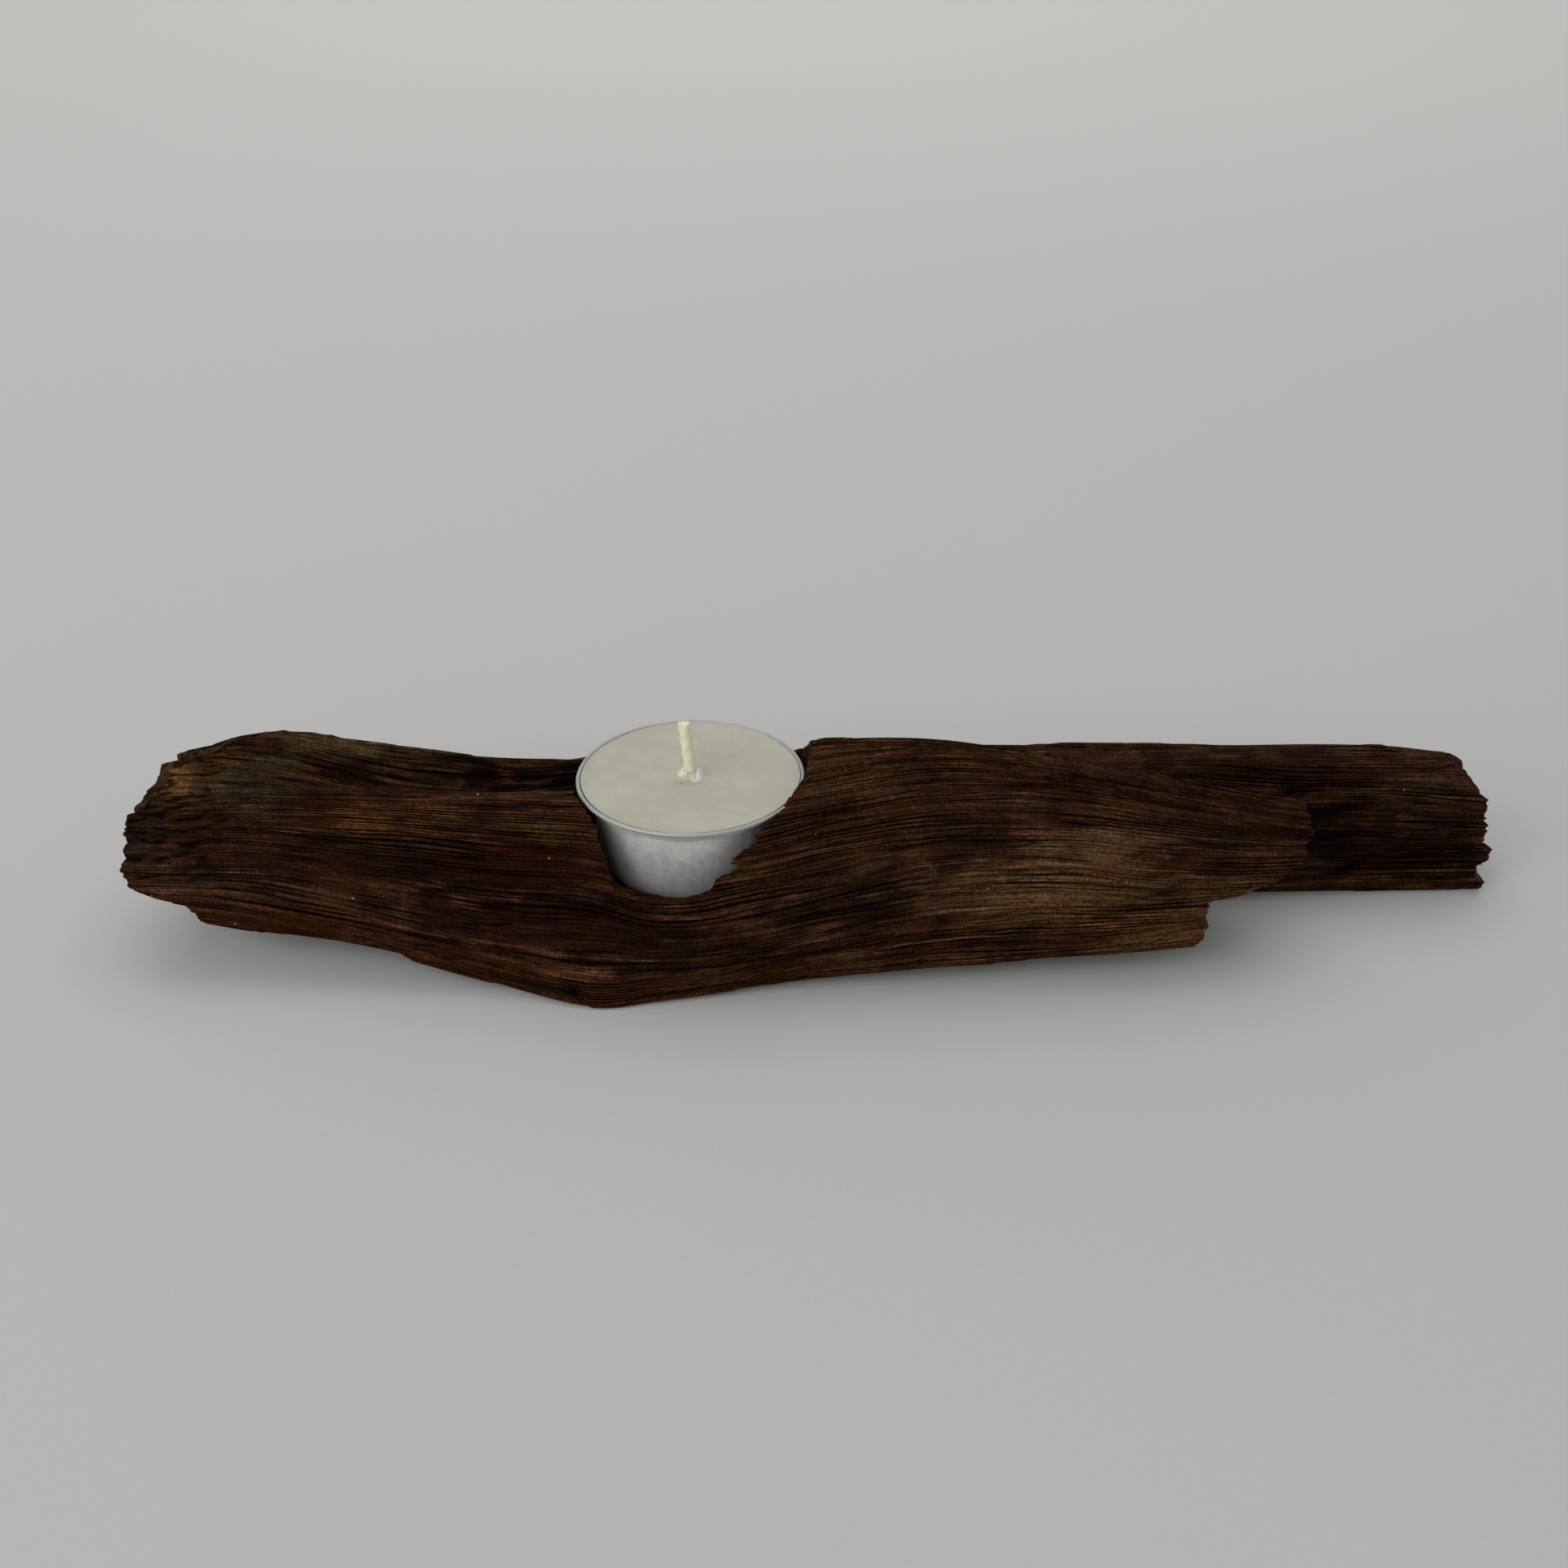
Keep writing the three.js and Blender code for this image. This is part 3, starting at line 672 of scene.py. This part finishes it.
class Shader:
    """A material's node tree, built by short calls. A value may be a number or another node's output."""

    def __init__(self, name):
        self.material = bpy.data.materials.new(name)
        self.material.use_nodes = True
        self.tree = self.material.node_tree
        self.surface = self.tree.nodes["Principled BSDF"]

    def link(self, value, socket):
        if isinstance(value, bpy.types.NodeSocket):
            self.tree.links.new(value, socket)
        elif isinstance(value, str):
            socket.default_value = linear(value)
        else:
            socket.default_value = value

    def node(self, kind, settings=None, **inputs):
        """A new node. An input is given by its name, or as i0, i1 and so on by its number."""
        made = self.tree.nodes.new(kind)
        for key, value in (settings or {}).items():
            setattr(made, key, value)
        for key, value in inputs.items():
            numbered = key[0] == "i" and key[1:].isdigit()
            self.link(value, made.inputs[int(key[1:]) if numbered else key])
        return made

    def attribute(self, name):
        return self.node("ShaderNodeAttribute", {"attribute_name": name})

    def place(self):
        """Object coordinates in millimetres."""
        coords = self.node("ShaderNodeTexCoord").outputs["Object"]
        return self.stretch(coords, 1 / MM, 1 / MM, 1 / MM)

    def stretch(self, vector, x, y, z):
        node = self.node("ShaderNodeVectorMath", {"operation": "MULTIPLY"}, i0=vector, i1=(x, y, z))
        return node.outputs[0]

    def noise(self, vector, scale, detail=3.0, rough=0.5, distortion=0.0):
        node = self.node("ShaderNodeTexNoise", None, Vector=vector, Scale=scale, Detail=detail,
                         Roughness=rough, Distortion=distortion)
        return node.outputs[0]

    def math(self, operation, a, b=0.0):
        node = self.node("ShaderNodeMath", {"operation": operation}, i0=a, i1=b)
        return node.outputs[0]

    def ramp(self, value, low, high, out_low=0.0, out_high=1.0):
        """Eases from out_low to out_high while value goes from low to high."""
        node = self.node("ShaderNodeMapRange", {"interpolation_type": "SMOOTHSTEP"}, Value=value)
        limits = {"From Min": low, "From Max": high, "To Min": out_low, "To Max": out_high}
        for key, number in limits.items():
            node.inputs[key].default_value = number
        return node.outputs[0]

    def colours(self, value, stops):
        node = self.node("ShaderNodeValToRGB", None, Fac=value)
        elements = node.color_ramp.elements
        while len(elements) < len(stops):
            elements.new(0.5)
        for element, (position, code) in zip(elements, stops):
            element.position = position
            element.color = linear(code)
        return node.outputs[0]

    def mix(self, factor, a, b, blend="MIX"):
        settings = {"data_type": "RGBA", "blend_type": blend, "clamp_factor": True}
        node = self.node("ShaderNodeMix", settings)
        self.link(factor, node.inputs[0])
        self.link(a, node.inputs[6])
        self.link(b, node.inputs[7])
        return node.outputs[2]

    def bump(self, height, distance, strength=1.0, normal=None):
        node = self.node("ShaderNodeBump", None, Strength=strength, Distance=distance, Height=height)
        if normal is not None:
            self.link(normal, node.inputs["Normal"])
        return node.outputs[0]

    def specks(self, vector, scale, chosen, size):
        """Scattered specks, 1 in each. chosen is how rare they are and size how far one reaches."""
        cells = self.node("ShaderNodeTexVoronoi", {"feature": "F1"}, Vector=vector, Scale=scale)
        lot = self.node("ShaderNodeSeparateColor", None, Color=cells.outputs["Color"]).outputs[0]
        inside = self.ramp(cells.outputs["Distance"], *size, 1, 0)
        return self.math("MULTIPLY", inside, self.ramp(lot, *chosen))

    def finish(self, **inputs):
        for key, value in inputs.items():
            self.link(value, self.surface.inputs[key.replace("_", " ")])
        return self.material


def wood_lines(m, grain, where):
    """What runs along the grain and what roughens the wood, by name, each from 0 to 1."""
    phase = m.attribute("phase").outputs["Fac"]
    depth = m.attribute("depth").outputs["Fac"]
    valley = m.math("ABSOLUTE", m.math("SINE", m.math("MULTIPLY", phase, math.pi)))
    valley = m.math("SUBTRACT", 1.0, valley)
    groove = m.math("MULTIPLY", m.math("POWER", valley, 2.0), depth)

    calm = m.ramp(m.noise(m.stretch(grain, 0.03, 0.12, 3.7), 1.0, 2, 0.5), 0.38, 0.6)
    hair = m.noise(m.stretch(grain, 0.035, 1.7, 3.7), 1.0, 2, 0.5)
    line = m.ramp(m.math("ABSOLUTE", m.math("SUBTRACT", hair, 0.5)), 0.0, 0.04, 1.0, 0.0)
    line = m.math("MULTIPLY", line, m.math("ADD", m.math("MULTIPLY", calm, 0.7), 0.3))

    close = m.math("ADD", m.math("MULTIPLY", phase, 2.17), m.math("MULTIPLY", hair, 3.0))
    close = m.math("ABSOLUTE", m.math("SINE", m.math("MULTIPLY", close, math.pi)))
    scratch = m.math("POWER", m.math("SUBTRACT", 1.0, close), 2.5)
    patches = m.ramp(m.noise(m.stretch(grain, 0.05, 0.4, 3.7), 1.0, 3, 0.6), 0.4, 0.62)
    scratch = m.math("MULTIPLY", scratch, patches)

    fibre = m.noise(m.stretch(grain, 0.09, 2.6, 3.7), 1.0, 3, 0.65)
    grit = m.noise(where, 2.0, 4, 0.75)
    return {"groove": groove, "line": line, "scratch": scratch, "fibre": fibre, "grit": grit}


def wood_brightness(m, where, lines):
    """How bright the wood is: painted shade in grooves, cracks and the hollows between lumps, darker in
    scratches and fine lines, and mottled all over.
    """
    dark = m.attribute("dark").outputs["Fac"]
    level = m.math("MULTIPLY", m.ramp(lines["fibre"], 0.34, 0.66, 0.45, 1.6),
                   m.ramp(lines["grit"], 0.3, 0.7, 0.45, 1.6))
    # Painted shade: grooves are darkened in colour, and so are cracks and the hollows between lumps.
    level = m.math("MULTIPLY", level, m.ramp(lines["groove"], 0.0, 0.6, 1.2, 0.08))
    level = m.math("MULTIPLY", level, m.ramp(dark, 0.0, 1.0, 1.0, 0.15))
    level = m.math("MULTIPLY", level, m.ramp(lines["scratch"], 0.0, 0.8, 1.12, 0.2))
    level = m.math("MULTIPLY", level, m.math("SUBTRACT", 1.0, m.math("MULTIPLY", lines["line"], 0.65)))
    level = m.math("MULTIPLY", level, m.ramp(m.noise(where, 0.5, 3, 0.6), 0.3, 0.7, 0.88, 1.14))
    green = m.math("MULTIPLY", level, 0.97)
    blue = m.math("MULTIPLY", level, 0.88)
    return m.node("ShaderNodeCombineColor", None, Red=level, Green=green, Blue=blue).outputs[0]


def wood_colour(m, grain, where, lines, drilled, across):
    """Streaks and patches of the grown faces, some patches painted shade, then the broken ends, the drilled
    faces and painted glints.
    """
    tint_and_shade = m.attribute("tint_and_shade")
    broken = m.attribute("broken").outputs["Fac"]
    streak = m.noise(m.stretch(grain, 0.03, 0.7, 3.7), 1.0, 5, 0.65)
    mottle = m.noise(where, 0.16, 4, 0.6)
    tone = m.math("ADD", m.math("MULTIPLY", streak, 0.65), m.math("MULTIPLY", mottle, 0.35))
    browns = [(0.36, "#1f0f08"), (0.47, "#341f13"), (0.56, "#482f1f"), (0.68, "#604633")]
    colour = m.colours(tone, browns)
    # The patches, some of them painted shade, go over the streaks.
    colour = m.mix(tint_and_shade.outputs["Alpha"], colour, tint_and_shade.outputs["Color"])
    colour = m.mix(1.0, colour, wood_brightness(m, where, lines), "MULTIPLY")
    end_grain = m.colours(m.noise(where, 1.1, 4, 0.7), [(0.38, "#1a0f08"), (0.62, "#5f452c")])
    colour = m.mix(m.math("MULTIPLY", broken, 0.7), colour, end_grain)
    colour = m.mix(drilled, colour, m.colours(across, [(0.35, "#140a05"), (0.65, "#38220f")]))
    # Painted glints: scattered light specks coloured into the wood.
    glint_specks = m.specks(where, 0.4, (0.93, 0.94), (0.05, 0.09))
    return m.mix(m.math("MULTIPLY", glint_specks, 0.8), colour, "#b5a78f")


def wood_normal(m, lines, drilled, across):
    """Bumps of the grown faces, and those of the drilled ones where drilled is 1."""
    height = m.math("ADD", m.math("MULTIPLY", lines["fibre"], 0.5), m.math("MULTIPLY", lines["grit"], 1.0))
    height = m.math("SUBTRACT", height, m.math("MULTIPLY", lines["line"], 0.5))
    height = m.math("SUBTRACT", height, m.math("MULTIPLY", lines["groove"], 1.3))
    height = m.math("SUBTRACT", height, m.math("MULTIPLY", lines["scratch"], 0.6))
    natural = m.bump(height, 0.0004, 1.0)
    rough = m.math("ADD", across, m.math("MULTIPLY", lines["grit"], 0.6))
    cut_face = m.bump(rough, 0.0004, 0.9)
    normal = m.node("ShaderNodeMix", {"data_type": "VECTOR"})
    m.link(drilled, normal.inputs[0])
    m.link(natural, normal.inputs[4])
    m.link(cut_face, normal.inputs[5])
    return normal.outputs[1]


def wood_material():
    m = Shader("weathered_wood")
    grain = m.attribute("grain").outputs["Vector"]
    drilled = m.attribute("drilled").outputs["Fac"]
    where = m.place()
    lines = wood_lines(m, grain, where)
    across = m.noise(m.stretch(where, 0.12, 0.9, 0.9), 1.0, 4, 0.65)
    return m.finish(
        Base_Color=wood_colour(m, grain, where, lines, drilled, across),
        Roughness=m.ramp(lines["grit"], 0.2, 0.8, 0.7, 0.92),
        Normal=wood_normal(m, lines, drilled, across),
        Specular_IOR_Level=0.03,
    )


def aluminium_material():
    m = Shader("satin_aluminium")
    where = m.place()
    drawn = m.noise(m.stretch(where, 2.2, 2.2, 0.1), 1.0, 3, 0.6)
    scuffs = m.noise(where, 0.7, 5, 0.65, 0.4)
    grain = m.noise(where, 7.0, 2, 0.6)
    colour = m.colours(scuffs, [(0.35, "#d6d4d1"), (0.5, "#dfddda"), (0.66, "#e7e5e2")])
    marks = m.ramp(m.noise(where, 1.3, 3, 0.6), 0.64, 0.7)
    colour = m.mix(m.math("MULTIPLY", marks, 0.5), colour, "#efece4")
    # Painted reflection: the rolled bead is coloured darker grey, standing in for the darker band it
    # reflects.
    up = m.node("ShaderNodeSeparateXYZ", None, Vector=where).outputs[2]
    bead_shade = m.ramp(up, CUP_BASE_Z + BEAD_FOOT_Z, CUP_BASE_Z + BEAD_FOOT_Z + 0.3)
    colour = m.mix(m.math("MULTIPLY", bead_shade, 0.8), colour, "#a3a19d")
    rough = m.math("ADD", m.ramp(scuffs, 0.3, 0.7, 0.44, 0.54), m.math("MULTIPLY", marks, 0.15))
    height = m.math("ADD", m.math("MULTIPLY", drawn, 0.4), m.math("MULTIPLY", grain, 0.3))
    normal = m.bump(height, 0.00005, 0.8, m.bump(scuffs, 0.0003, 0.2))
    return m.finish(Base_Color=colour, Metallic=0.52, Roughness=rough, Normal=normal)


def wax_material():
    m = Shader("candle_wax")
    where = m.place()
    cloud = m.noise(where, 0.12, 3, 0.6)
    colour = m.colours(cloud, [(0.3, "#b4b09f"), (0.5, "#b9b5a6"), (0.7, "#bebaae")])
    dust = m.specks(where, 0.22, (0.9, 0.92), (0.03, 0.06))
    colour = m.mix(m.math("MULTIPLY", dust, 0.85), colour, "#4a3c2c")
    level = m.stretch(where, 1, 1, 0)
    away = m.node("ShaderNodeVectorMath", {"operation": "DISTANCE"}, i0=level, i1=tuple(AXIS))
    grains = m.ramp(m.noise(where, 1.1, 3, 0.6), 0.32, 0.5)
    frost = m.math("MULTIPLY", m.ramp(away.outputs["Value"], 1.5, 2.5, 1, 0), grains)
    colour = m.mix(m.math("MULTIPLY", frost, 0.9), colour, "#f4f1e6")
    fine = m.noise(where, 2.2, 4, 0.6)
    normal = m.bump(fine, 0.00012, 0.35, m.bump(m.noise(where, 0.35, 2, 0.5), 0.0006, 0.3))
    return m.finish(
        Base_Color=colour, Roughness=m.ramp(fine, 0.3, 0.7, 0.42, 0.58), Normal=normal,
        Subsurface_Weight=0.35, Subsurface_Radius=(0.0022, 0.0017, 0.001), Subsurface_Scale=1.0,
        Specular_IOR_Level=0.35,
    )


def wick_material():
    m = Shader("waxed_cotton")
    where = m.place()
    thread = m.noise(m.stretch(where, 5, 5, 1.6), 1.0, 3, 0.6)
    colour = m.colours(thread, [(0.3, "#e8dfb8"), (0.55, "#f2ecce"), (0.75, "#f8f4e0")])
    normal = m.bump(thread, 0.00012, 0.6)
    return m.finish(Base_Color=colour, Roughness=m.ramp(thread, 0.3, 0.7, 0.5, 0.75), Normal=normal)


def steel_material():
    m = Shader("tinned_steel")
    where = m.place()
    brushed = m.noise(m.stretch(where, 0.4, 9, 4), 1.0, 3, 0.6)
    colour = m.colours(brushed, [(0.3, "#9c9d9f"), (0.7, "#bcbdbe")])
    rough = m.ramp(brushed, 0.3, 0.7, 0.32, 0.5)
    return m.finish(Base_Color=colour, Metallic=1.0, Roughness=rough, Normal=m.bump(brushed, 0.00005, 0.6))


# ---- tealight, in millimetres above the underside of its cup ----

# Thickness of the foil, its outside from the foot to the bead as [radius, z], and the rolled bead.
FOIL = 0.22
CUP_OUTSIDE = [
    [7.4, 0.35], [7.9, 0.3], [8.3, 0.04], [8.8, 0.0], [9.4, 0.02], [10.5, 0], [12.4, 0], [13.3, 0.06],
    [13.9, 0.22], [14.4, 0.55], [14.75, 1.05], [14.95, 1.7], [15.1, 2.5], [15.4, 4.4], [15.75, 6.6],
    [16.1, 8.8], [16.45, 11.0], [16.7, 12.6], [16.9, 13.8], [17.0, 14.15], [17.2, 14.36],
    [17.62, 14.46], [17.86, 14.62], [17.86, 14.84], [17.8, 15.02], [17.94, 15.24], [18.22, 15.38],
]
BEAD_FOOT_Z = 14.3
BEAD_MIDDLE = [18.58, 15.95]
BEAD_R = 0.36
BEAD_STEPS = 14
WAX_TOP = 16.1


def cup_points(radius, a, z):
    """Small dents and flutes of a thin drawn cup; none at the bead."""
    free = float(smooth(0.5, 3, z) * (1 - smooth(13.2, 15, z)))
    dent = 0.09 * math.sin(2 * a + 0.4 * z) + 0.07 * math.sin(5 * a + 1.1) * math.sin(0.5 * z + a)
    dent += 0.03 * math.sin(11 * a - 0.7 * z) + 0.012 * math.sin(60 * a)
    wave = 0.05 * math.sin(3 * a + 0.8) + 0.025 * math.sin(8 * a + 2.0)
    high = float(smooth(14, 15.6, z))
    return radius + dent * free, z + wave * high


def round_piece(name, outline, segments, wobble, lift):
    points, faces = lathe(outline, segments, wobble)
    points[:, 2] += lift
    mesh = mesh_of(name, points, faces)
    soften(mesh, 55)
    return place(name, mesh)


def cup_piece():
    bead = []
    for k in range(BEAD_STEPS + 1):
        a = math.radians(-110 + 300 * k / BEAD_STEPS)
        bead.append([BEAD_MIDDLE[0] + BEAD_R * math.cos(a), BEAD_MIDDLE[1] + BEAD_R * math.sin(a)])
    inside = [[max(r - FOIL, 0), z + (FOIL if z < 1 else 0.05)] for r, z in CUP_OUTSIDE[::-1]]
    outline = [[0, 0.35]] + CUP_OUTSIDE + bead + inside[1:] + [[0, 0.35 + FOIL]]
    return round_piece("tealight_foil_cup", outline, 240, cup_points, CUP_BASE_Z)


def wax_points(radius, a, z):
    """A gently uneven top with a lump at the wick; the wax inside the cup stays as it is."""
    if z < WAX_TOP - 1:
        return radius, z
    swell = 0.05 * math.sin(2 * a + radius * 0.3) + 0.03 * math.sin(5 * a + 0.9 * radius)
    near = float(1 - smooth(1.3, 3.6, radius))
    blob = near * (0.16 * math.sin(3 * a + 1) + 0.1 * math.sin(7 * a + radius * 3) + 0.3 * math.sin(a - 0.9))
    spill = 1 + 0.16 * math.sin(3 * a + 2) + 0.08 * math.sin(5 * a)
    grown = radius * spill if 1.1 < radius < 2.6 else radius
    return grown, z + swell * float(smooth(0, 3, 17.9 - radius)) + blob * float(radius > 1.1)


def wax_piece():
    """The fill, whose outline goes up inside the cup, over the top and down along the wick."""
    inner = [[r - FOIL - 0.06, z + 0.08] for r, z in CUP_OUTSIDE if 1 < z < 14.6 and r > 14]
    outline = [[6.4, 0.75], [13.6, 0.75]] + inner[:-2] + [[17.4, 15.3], [17.95, 15.8], [18.14, 16.2]]
    for r in np.linspace(17.95, 3.9, 36):
        rise = 0.16 * math.exp(-(17.98 - r) / 0.5)
        outline.append([r, WAX_TOP - 0.06 + rise])
    for r in np.linspace(3.4, 1.15, 12):
        outline.append([r, WAX_TOP - 0.06 + 1.3 * math.exp(-((r - 1.0) / 0.75) ** 2)])
    outline += [[1.04, WAX_TOP + 0.9], [1.04, 14], [1.35, 12], [1.35, 5.4]]
    outline += [[2.05, 5.3], [2.05, 1.4], [6.4, 1.4]]
    return round_piece("candle_wax", outline, 200, wax_points, CUP_BASE_Z)


# Middle line of the wick, which leans to the left above the wax, and its radius.
WICK_PATH = [[0, 0, 0.7], [0, 0, 8], [0, 0, 16.1], [-0.36, 0, 21], [-0.85, 0, 25.8]]
WICK_R = 1.0


def wick_piece():
    """Plaited cotton stiffened with wax: a tube whose skin is pressed into crossing strands."""
    steps, sides = 150, 36
    path = through(np.array(WICK_PATH, float), np.linspace(0, 1, steps))
    a = np.arange(sides) / sides * 2 * np.pi
    rings = []
    for k, middle in enumerate(path):
        z = middle[2]
        plait = 0.5 * abs(np.sin(1.5 * a + 1.25 * z)) + 0.5 * abs(np.sin(1.5 * a - 1.25 * z))
        radius = WICK_R * (0.9 + 0.13 * plait + 0.02 * np.sin(5 * a + 3 * z))
        if k >= steps - 3:
            radius = radius * (1 - 0.1 * (k - steps + 4) / 3)
        ring = np.stack([radius * np.cos(a), radius * np.sin(a) * 0.94, np.zeros(sides)], axis=-1) + middle
        if k == steps - 1:
            ring[:, 2] += 0.1 * np.sin(2 * a + 1) + 0.07 * np.sin(5 * a)
        rings.append(ring)
    points = np.concatenate(rings + [path[:1], path[-1:] + [[0, 0, 0.06]]])
    faces = []
    for k in range(steps - 1):
        for j in range(sides):
            n = (j + 1) % sides
            faces.append([k * sides + j, k * sides + n, (k + 1) * sides + n, (k + 1) * sides + j])
    low, high = steps * sides, steps * sides + 1
    last = (steps - 1) * sides
    for j in range(sides):
        n = (j + 1) % sides
        faces.append([low, n, j])
        faces.append([high, last + j, last + n])
    points[:, 2] += CUP_BASE_Z
    mesh = mesh_of("wick_cotton", points, faces)
    soften(mesh, 60)
    return place("wick_cotton", mesh)


def sustainer_points(radius, a, z):
    """Two crimps in the tube that holds the wick, and a faint wave in the disc."""
    pinch = 0.16 * max(math.cos(2 * a), 0) ** 3 * float(smooth(2, 3, z) * (1 - smooth(4.2, 4.8, z)))
    return radius - pinch * float(radius > 1.5), z + 0.05 * math.sin(6 * a) * float(smooth(4, 6, radius))


def sustainer_piece():
    outline = [
        [1.35, 0.75], [5.7, 0.75], [5.95, 0.8], [6.0, 0.92], [5.95, 1.05], [5.7, 1.1], [2.2, 1.1],
        [1.85, 1.2], [1.75, 1.5], [1.75, 2.4], [1.72, 3.2], [1.72, 4.0], [1.75, 4.85], [1.68, 4.98],
        [1.5, 5.0], [1.36, 4.9], [1.35, 3.0],
    ]
    return round_piece("wick_foot", outline, 96, sustainer_points, CUP_BASE_Z)


def dress(piece, material, body, node):
    """Gives the piece its material and its body, and hides the CAD node it stands for."""
    piece.data.materials.clear()
    piece.data.materials.append(material)
    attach(piece, body)
    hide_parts(node)


def holder():
    dress(wood_piece(), wood_material(), "holder", "driftwood_body")
    dress(cup_piece(), aluminium_material(), "tealight", "tealight_cup")
    dress(wax_piece(), wax_material(), "tealight", "wax")
    dress(wick_piece(), wick_material(), "tealight", "wick")
    dress(sustainer_piece(), steel_material(), "tealight", "wick_sustainer")


# ---- backdrop, lights and camera, in metres ----

# The paper: its front edge, where it starts to curve up, the radius of that curve, its top edge
# and half its width.
PAPER_FRONT = -1.5
SWEEP_Y = 1.0
SWEEP_R = 0.8
SWEEP_STEPS = 24
PAPER_TOP = 2.6
PAPER_HALF = 3

# Area lights: name, place, what it faces, its two sides, and its power in watts.
AREA_LIGHTS = [
    ("overhead", (0.0, 0.9, 1.6), (0, 0.5, 0), (2.0, 1.4), 9),
    ("front", (-0.5, -1.05, 0.9), (0, 0, 0.02), (1.2, 0.9), 4.8),
    ("side", (-1.1, -0.6, 0.6), (0, 0, 0.02), (0.8, 0.8), 4.5),
]
ROOM_LIGHT = 0.44

CAMERA_PLACE = (-0.00754, -0.22601, 0.16017)
CAMERA_TILT = 59.3
SENSOR_MM = 36
LENS_MM = 36.09


def studio():
    sweep = []
    for k in range(SWEEP_STEPS + 1):
        a = k / SWEEP_STEPS * math.pi / 2
        sweep.append((SWEEP_Y + SWEEP_R * math.sin(a), SWEEP_R - SWEEP_R * math.cos(a)))
    profile = [(PAPER_FRONT, 0.0)] + sweep + [(SWEEP_Y + SWEEP_R, PAPER_TOP)]
    points = [(x, y, z) for x in (-PAPER_HALF, PAPER_HALF) for y, z in profile]
    n = len(profile)
    faces = [(k, k + 1, k + 1 + n, k + n)[::-1] for k in range(n - 1)]
    mesh = bpy.data.meshes.new("backdrop")
    mesh.from_pydata(points, [], faces)
    mesh.polygons.foreach_set("use_smooth", [True] * len(mesh.polygons))
    floor = place("backdrop", mesh)
    m = Shader("pale_paper")
    where = m.place()
    fine = m.noise(where, 0.9, 3, 0.6)
    back = m.node("ShaderNodeSeparateXYZ", None, Vector=where).outputs[1]
    # Painted light: the paper is coloured darker at the front and lighter towards the back, standing in for
    # how the light falls off across it.
    falloff_greys = [(0.0, "#c1c1bf"), (0.12, "#c7c7c5"), (1.0, "#dededb")]
    paper = m.colours(m.ramp(back, -150, 1400), falloff_greys)
    colour = m.mix(m.ramp(fine, 0.3, 0.7, 0.0, 0.06), paper, "#aeaeac")
    floor.data.materials.append(m.finish(Base_Color=colour, Roughness=0.7, Normal=m.bump(fine, 0.00003)))


def area(name, where, aim, size, power):
    light = bpy.data.lights.new(name, "AREA")
    light.shape = "RECTANGLE"
    light.size, light.size_y = size
    light.energy = power
    thing = bpy.data.objects.new(name, light)
    thing.location = where
    thing.rotation_euler = (Vector(aim) - Vector(where)).to_track_quat("-Z", "Y").to_euler()
    bpy.context.scene.collection.objects.link(thing)


def lights():
    world = bpy.data.worlds.new("studio")
    world.use_nodes = True
    background = world.node_tree.nodes["Background"]
    background.inputs["Color"].default_value = (1, 1, 1, 1)
    background.inputs["Strength"].default_value = ROOM_LIGHT
    bpy.context.scene.world = world
    for light in AREA_LIGHTS:
        area(*light)
    bpy.context.scene.view_settings.view_transform = "Standard"


def camera():
    data = bpy.data.cameras.new("camera")
    data.sensor_width = SENSOR_MM
    data.lens = LENS_MM
    data.clip_start = 0.01
    thing = bpy.data.objects.new("camera", data)
    thing.location = CAMERA_PLACE
    thing.rotation_euler = (math.radians(CAMERA_TILT), 0, 0)
    bpy.context.scene.collection.objects.link(thing)
    bpy.context.scene.camera = thing


holder()
studio()
lights()
camera()
